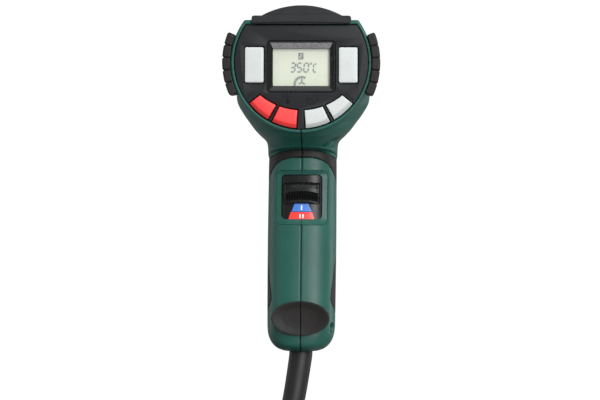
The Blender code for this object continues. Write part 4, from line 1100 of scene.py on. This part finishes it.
def build_outlet():
    """The steel outlet, the ribbed ring in front of the casing and the heat shield."""
    inner, lip = NOZZLE_R - 0.8, 15.4
    profile = [(77.0, inner), (77.0, NOZZLE_R), (246.0, NOZZLE_R), (246.6, NOZZLE_R - 0.18),
               (248.6, NOZZLE_R - 0.18), (249.2, NOZZLE_R)]
    profile += [(NOZZLE_END - 0.9 + 0.9 * sin(a), NOZZLE_R - 0.9 + 0.9 * cos(a))
                for a in (pi / 2 * k / 8 for k in range(9))]
    profile += [(NOZZLE_END, lip + 0.25), (NOZZLE_END - 0.25, lip), (NOZZLE_END - 1.5, lip),
                (NOZZLE_END - 2.6, inner)]
    finish_piece(turned("outlet", profile, 144), "outlet_tube", OUTLET, "nozzle_tube")
    collar = [(119.8, 17.4), (119.8, 26.3), (126.3, 26.3), (126.3, 30.0), (126.6, 30.4), (127.1, 30.6),
              (128.4, 30.6), (128.7, 30.2), (129.1, 30.2), (129.4, 30.6), (132.6, 30.6), (133.4, 30.4),
              (134.0, 29.7), (134.0, 24.6), (134.4, 24.2), (140.6, 24.2), (141.0, 23.8), (141.0, 22.2),
              (131.0, 22.2), (131.0, 17.4)]
    ring = turned("collar", collar, 160)
    for k in range(24):
        a = pi / 12 * k
        u, v = cos(a), sin(a)
        cut(ring, prism_y("grip", spoke(u, v, 30.15, 33.0, 0.9), (129.3, 132.4)))
    finish_piece(ring, "front_ring", BLACK, "front_collar", 35.0)
    start, end = SHIELD_Y
    shield = [(start, 24.8), (start, 28.0), (start + 0.3, 28.5), (start + 1.0, 28.8), (start + 3.5, 28.7),
              (start + 6.0, 28.4), (start + 8.0, 27.9), (start + 10.0, 27.1), (start + 12.0, 26.4),
              (start + 14.0, 26.15), (end - 5.0, 24.6), (end - 2.6, 24.2), (end - 1.0, 23.6),
              (end - 0.3, 22.8), (end, 22.0), (end, 19.9), (end - 0.3, 19.6), (end - 1.6, 19.6),
              (end - 1.6, 21.8), (end - 5.0, 22.6), (start + 12.0, 24.4), (start + 8.0, 24.6)]
    shell = turned("shield", shield, 160)
    for k in range(3):
        a = radians(30 + 60 * k)
        rings = []
        u, v = cos(a), sin(a)
        for r in (-40.0, 40.0):
            slot_outline = rounded_rect((start + 16.0, end - 10.0), (-2.6, 2.6), 2.5, 8)
            rings.append([(u * r - s * v, y, v * r + s * u) for y, s in slot_outline])
        cut(shell, loft("vent", rings))
    bevel(shell, 0.3, 50.0)
    finish_piece(shell, "heat_shield_cone", BLACK, "heat_shield", 35.0, body="heat_shield")


def build_screws():
    """Pan heads with a cross recess at the foot of each bore."""
    seat = SCREW_SEAT_X + 0.3
    steps = [(-8.6, 0.7), (-7.4, 1.5), (seat, 1.5), (seat, 2.55), (seat + 0.8, 2.6), (seat + 1.3, 2.45),
             (seat + 1.7, 2.05), (seat + 1.95, 1.4), (seat + 2.0, 0.6)]
    for number, (y, z) in enumerate(SCREWS, 1):
        screw = loft("screw", [[(x, y + r * u, z + r * v) for u, v in circle(1.0, 40)] for x, r in steps])
        for turn in (0.0, pi / 2):
            u, v = cos(turn + 0.4 * number), sin(turn + 0.4 * number)
            rings = []
            for x, reach, half in ((seat + 0.7, 0.9, 0.28), (seat + 2.4, 1.55, 0.40)):
                rings.append([(x, y + u * a - v * b, z + v * a + u * b)
                              for a, b in ((-reach, -half), (reach, -half), (reach, half), (-reach, half))])
            cut(screw, loft("cross", rings))
        name = "screw_%d" % number
        finish_piece(screw, "casing_" + name, STEEL, "housing_" + name, 35.0)


# ---------------------------------------------------------------- mains lead

CORD_R = 4.5
COIL_CENTRE = (-86.0, 55.0)
COIL_R = 50.0
COIL_Z = -263.2
ROW = 9.0                        # spacing of the turns, sideways and upward
COIL_TOP = COIL_Z + 3 * ROW
SLEEVE_ROUTE = [(0.0, 17.06, -158.1), (0.0, 15.64, -164.0), (-0.5, 14.3, -170.0), (-3.6, 11.0, -190.0),
                (-7.6, 8.6, -208.0), (-9.4, 7.4, -218.0)]
LEAD_ROUTE = [(-9.5, 7.3, -218.5), (-11.7, 5.8, -229.5), (-19.0, 1.0, -243.0), (-31.0, -2.8, -252.6),
              (-44.0, -4.0, -257.8), (-51.6, -4.0, -258.9)]
TAIL_END = 92.0                 # degrees round the coil where the plug begins
TAIL_RISE = 9.2


def ease(t):
    t = min(max(t, 0.0), 1.0)
    return t * t * (3 - 2 * t)


def coil_points():
    """Turns laid clockwise, three wide and three high, then over the top to the plug."""
    order = [(1, 0), (0, 0), (-1, 0), (-1, 1), (0, 1), (1, 1), (1, 2), (0, 2), (-1, 2)]
    shift_angle, per_turn, lead_in = 110.0, 30, -90.0
    over_top, outward_from = 270.0 - TAIL_END, 0.15
    total = 360.0 * (len(order) - 1) + over_top
    points = []
    count = int(total / 360.0 * per_turn)
    for k in range(1, count + 1):
        travelled = total * k / count
        index = min(int(travelled // 360.0), len(order) - 1)
        within = travelled - 360.0 * index
        column, row = order[index]
        if index < len(order) - 1:
            t = ease((within - 360.0 + shift_angle) / shift_angle)
            after = order[index + 1]
            column, row = column + (after[0] - column) * t, row + (after[1] - row) * t
            r, z = COIL_R + ROW * column, COIL_Z + CORD_R + ROW * row
        else:
            t = within / over_top
            r = COIL_R - ROW + ROW * ease((t - outward_from) / (1 - outward_from))
            z = COIL_Z + CORD_R + ROW * row + (ROW + 0.3 + TAIL_RISE) * ease(t)
        a = radians(lead_in - travelled)
        points.append(Vector((COIL_CENTRE[0] + r * cos(a), COIL_CENTRE[1] + r * sin(a), z)))
    return points


def sleeve_radius(z):
    down = (SLEEVE_ROUTE[0][2] - z) / (SLEEVE_ROUTE[0][2] - SLEEVE_ROUTE[-1][2])
    return 6.7 - 0.5 * down if down < 0.55 else 6.43 - 1.9 * (down - 0.55)


def build_lead():
    """The tapered sleeve at the foot and the whole lead to the plug as one curve."""
    sleeve_path = smooth_path(SLEEVE_ROUTE, 10)
    flange = [Vector((0.0, 17.42, -156.6)), Vector((0.0, 17.08, -158.0))]
    radii = [7.9, 7.9] + [sleeve_radius(p.z) for p in sleeve_path]
    end = sleeve_path[-1] + (sleeve_path[-1] - sleeve_path[-2]).normalized() * 0.35
    sleeve = tube("sleeve", flange + sleeve_path + [end], radii + [radii[-1] - 0.4], 64)
    finish_piece(sleeve, "sleeve_taper", CORD, "cord_sleeve", 50.0)

    inside = smooth_path(SLEEVE_ROUTE, 3)
    lead = smooth_path(LEAD_ROUTE, 4)
    join_in = [Vector((lead[-1].x + (COIL_CENTRE[0] - lead[-1].x) * t, COIL_CENTRE[1] - COIL_R - ROW,
                       lead[-1].z + (COIL_Z + CORD_R - lead[-1].z) * t)) for t in (0.35, 0.7, 1.0)]
    points = inside + lead + join_in + coil_points()
    curve = bpy.data.curves.new("lead", "CURVE")
    curve.dimensions = "3D"
    curve.bevel_depth = CORD_R * MM
    curve.bevel_resolution = 6
    curve.use_fill_caps = True
    spline = curve.splines.new("POLY")
    fine = smooth_path(points, 2)
    spline.points.add(len(fine) - 1)
    for knot, point in zip(spline.points, fine):
        knot.co = (*(BASE + point * MM), 1.0)
    spline.use_smooth = True
    item = link(bpy.data.objects.new("mains_lead", curve))
    curve.materials.append(CORD)
    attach(item, BODY)
    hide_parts("power_cord", "cord_coil", "cord_tail")
    return item, sleeve


def build_tie():
    """Strap with a small loop lock round the bundle."""
    half, thick = 4.0, 1.0
    reach = 1.5 * ROW
    loops = []
    for d, w in ((0.5, half - 0.2), (0.5, -half + 0.2), (0.7, -half), (0.5 + thick, -half),
                 (0.7 + thick, -half + 0.25), (0.7 + thick, half - 0.25), (0.5 + thick, half), (0.7, half)):
        section = rounded_rect((COIL_CENTRE[0] + COIL_R - reach - d, COIL_CENTRE[0] + COIL_R + reach + d),
                               (COIL_Z - d, COIL_TOP + d), 4.4 + d, 8)
        loops.append([(u, COIL_CENTRE[1] + w, v) for u, v in section])
    strap = loft("strap", loops, closed=True)
    x = COIL_CENTRE[0] + COIL_R + reach + 0.7 + thick
    lock = loft("lock", [[(x - 0.4 + depth, COIL_CENTRE[1] + u, (COIL_Z + COIL_TOP) / 2 + v)
                          for u, v in rounded_rect((-s, s), (-s + 0.2, s - 0.2), 1.2, 5)]
                         for depth, s in ((0.0, 4.9), (1.4, 4.9), (1.9, 4.4))])
    return finish_piece(join("tie", [strap, lock]), "bundle_tie", BLACK, "cord_tie")


def build_plug():
    """Moulded two-pin plug with a ribbed neck and finger grips."""
    a = radians(TAIL_END)
    forward = Vector((sin(a), -cos(a), 0.0))
    side = Vector((cos(a), sin(a), 0.0))
    up = Vector((0.0, 0.0, 1.0))
    base = coil_points()[-1] + forward * 0.1
    stations = [(0.0, 5.2, 5.2, 2.0), (9.0, 6.4, 6.2, 2.0), (13.0, 8.6, 8.0, 2.2), (20.0, 13.0, 10.5, 2.6),
                (28.0, 16.8, 12.6, 3.0), (40.0, 18.3, 13.2, 3.2), (45.0, 18.5, 13.2, 3.2),
                (46.5, 17.6, 12.4, 3.2)]         # ahead, half width, half height, exponent
    rings = []
    steps = 120
    for k in range(steps + 1):
        ahead = stations[-1][0] * k / steps
        for p, q in zip(stations, stations[1:]):
            if p[0] <= ahead <= q[0] + 1e-6:
                t = ease((ahead - p[0]) / (q[0] - p[0])) * 0.5 + 0.5 * (ahead - p[0]) / (q[0] - p[0])
                half_w, half_h, n = (p[j] + (q[j] - p[j]) * t for j in (1, 2, 3))
        notch = 0.7 * ribbing(ahead, 2.6) ** 2 if 1.0 < ahead < 9.5 else 0.0
        ring = []
        for u, v in circle(1.0, 72):
            grip = 0.8 * ribbing(ahead, 2.8) ** 3 if 25.0 < ahead < 41.0 and abs(u) > 0.8 else 0.0
            ring.append(base + forward * ahead + side * (swell(u, n) * (half_w - notch - grip))
                        + up * (swell(v, n) * (half_h - notch)))
        rings.append(ring)
    body = finish_piece(loft("plug", rings), "plug_moulding", PLUG, "plug_body", 50.0)
    pins = []
    for offset, name in ((-9.5, "left"), (9.5, "right")):
        foot = base + forward * (stations[-1][0] - 0.2) + side * offset
        reach = [(0.0, 2.0), (10.0, 2.0), (10.2, 2.4), (17.9, 2.4), (18.8, 2.1), (19.3, 1.4)]
        pin = tube("pin", [foot + forward * d for d, _ in reach], [r for _, r in reach], 40)
        pins.append(finish_piece(pin, "contact_" + name, BRASS, "plug_pin_" + name))
    return [body] + pins


# ---------------------------------------------------------------- the parts inside, and the whole

INNER_LOOKS = {
    "key_mat": RUBBER, "display_board": BOARD, "display_module": DISPLAY_WITH_PAINTED_GLOW, "slide_switch": BLACK,
    "power_board": BOARD, "heat_sink": ALUMINIUM, "suppressor": WHITE, "cord_clamp": BLACK,
    "clamp_screw_1": STEEL, "clamp_screw_2": STEEL, "motor": CAN, "fan_housing": BLACK, "motor_shaft": STEEL,
    "fan_impeller": BLACK, "inlet_screen_left": STEEL, "inlet_screen_right": STEEL, "heater_sleeve": MICA,
    "heater_core": CERAMIC, "heater_coil": WIRE, "heat_sensor": STEEL,
}


def dress_inner_parts():
    for name, material in INNER_LOOKS.items():
        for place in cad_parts[name].material_slots:
            place.material = material


add_camera()
for _ in range(2):
    # The lamps and the floor stand twice. The looks were set with both sets, and one lamp of double
    # power does not give the same picture as two at one place.
    add_light()
    add_stage()
lead_item, sleeve_item = build_lead()
tie_item = build_tie()
plug_items = build_plug()
build_casing()
build_window_frame()
build_grips()
build_heel_pad()
build_rests()
build_panel()
build_keys()
build_display()
build_slider()
build_outlet()
build_screws()
dress_inner_parts()
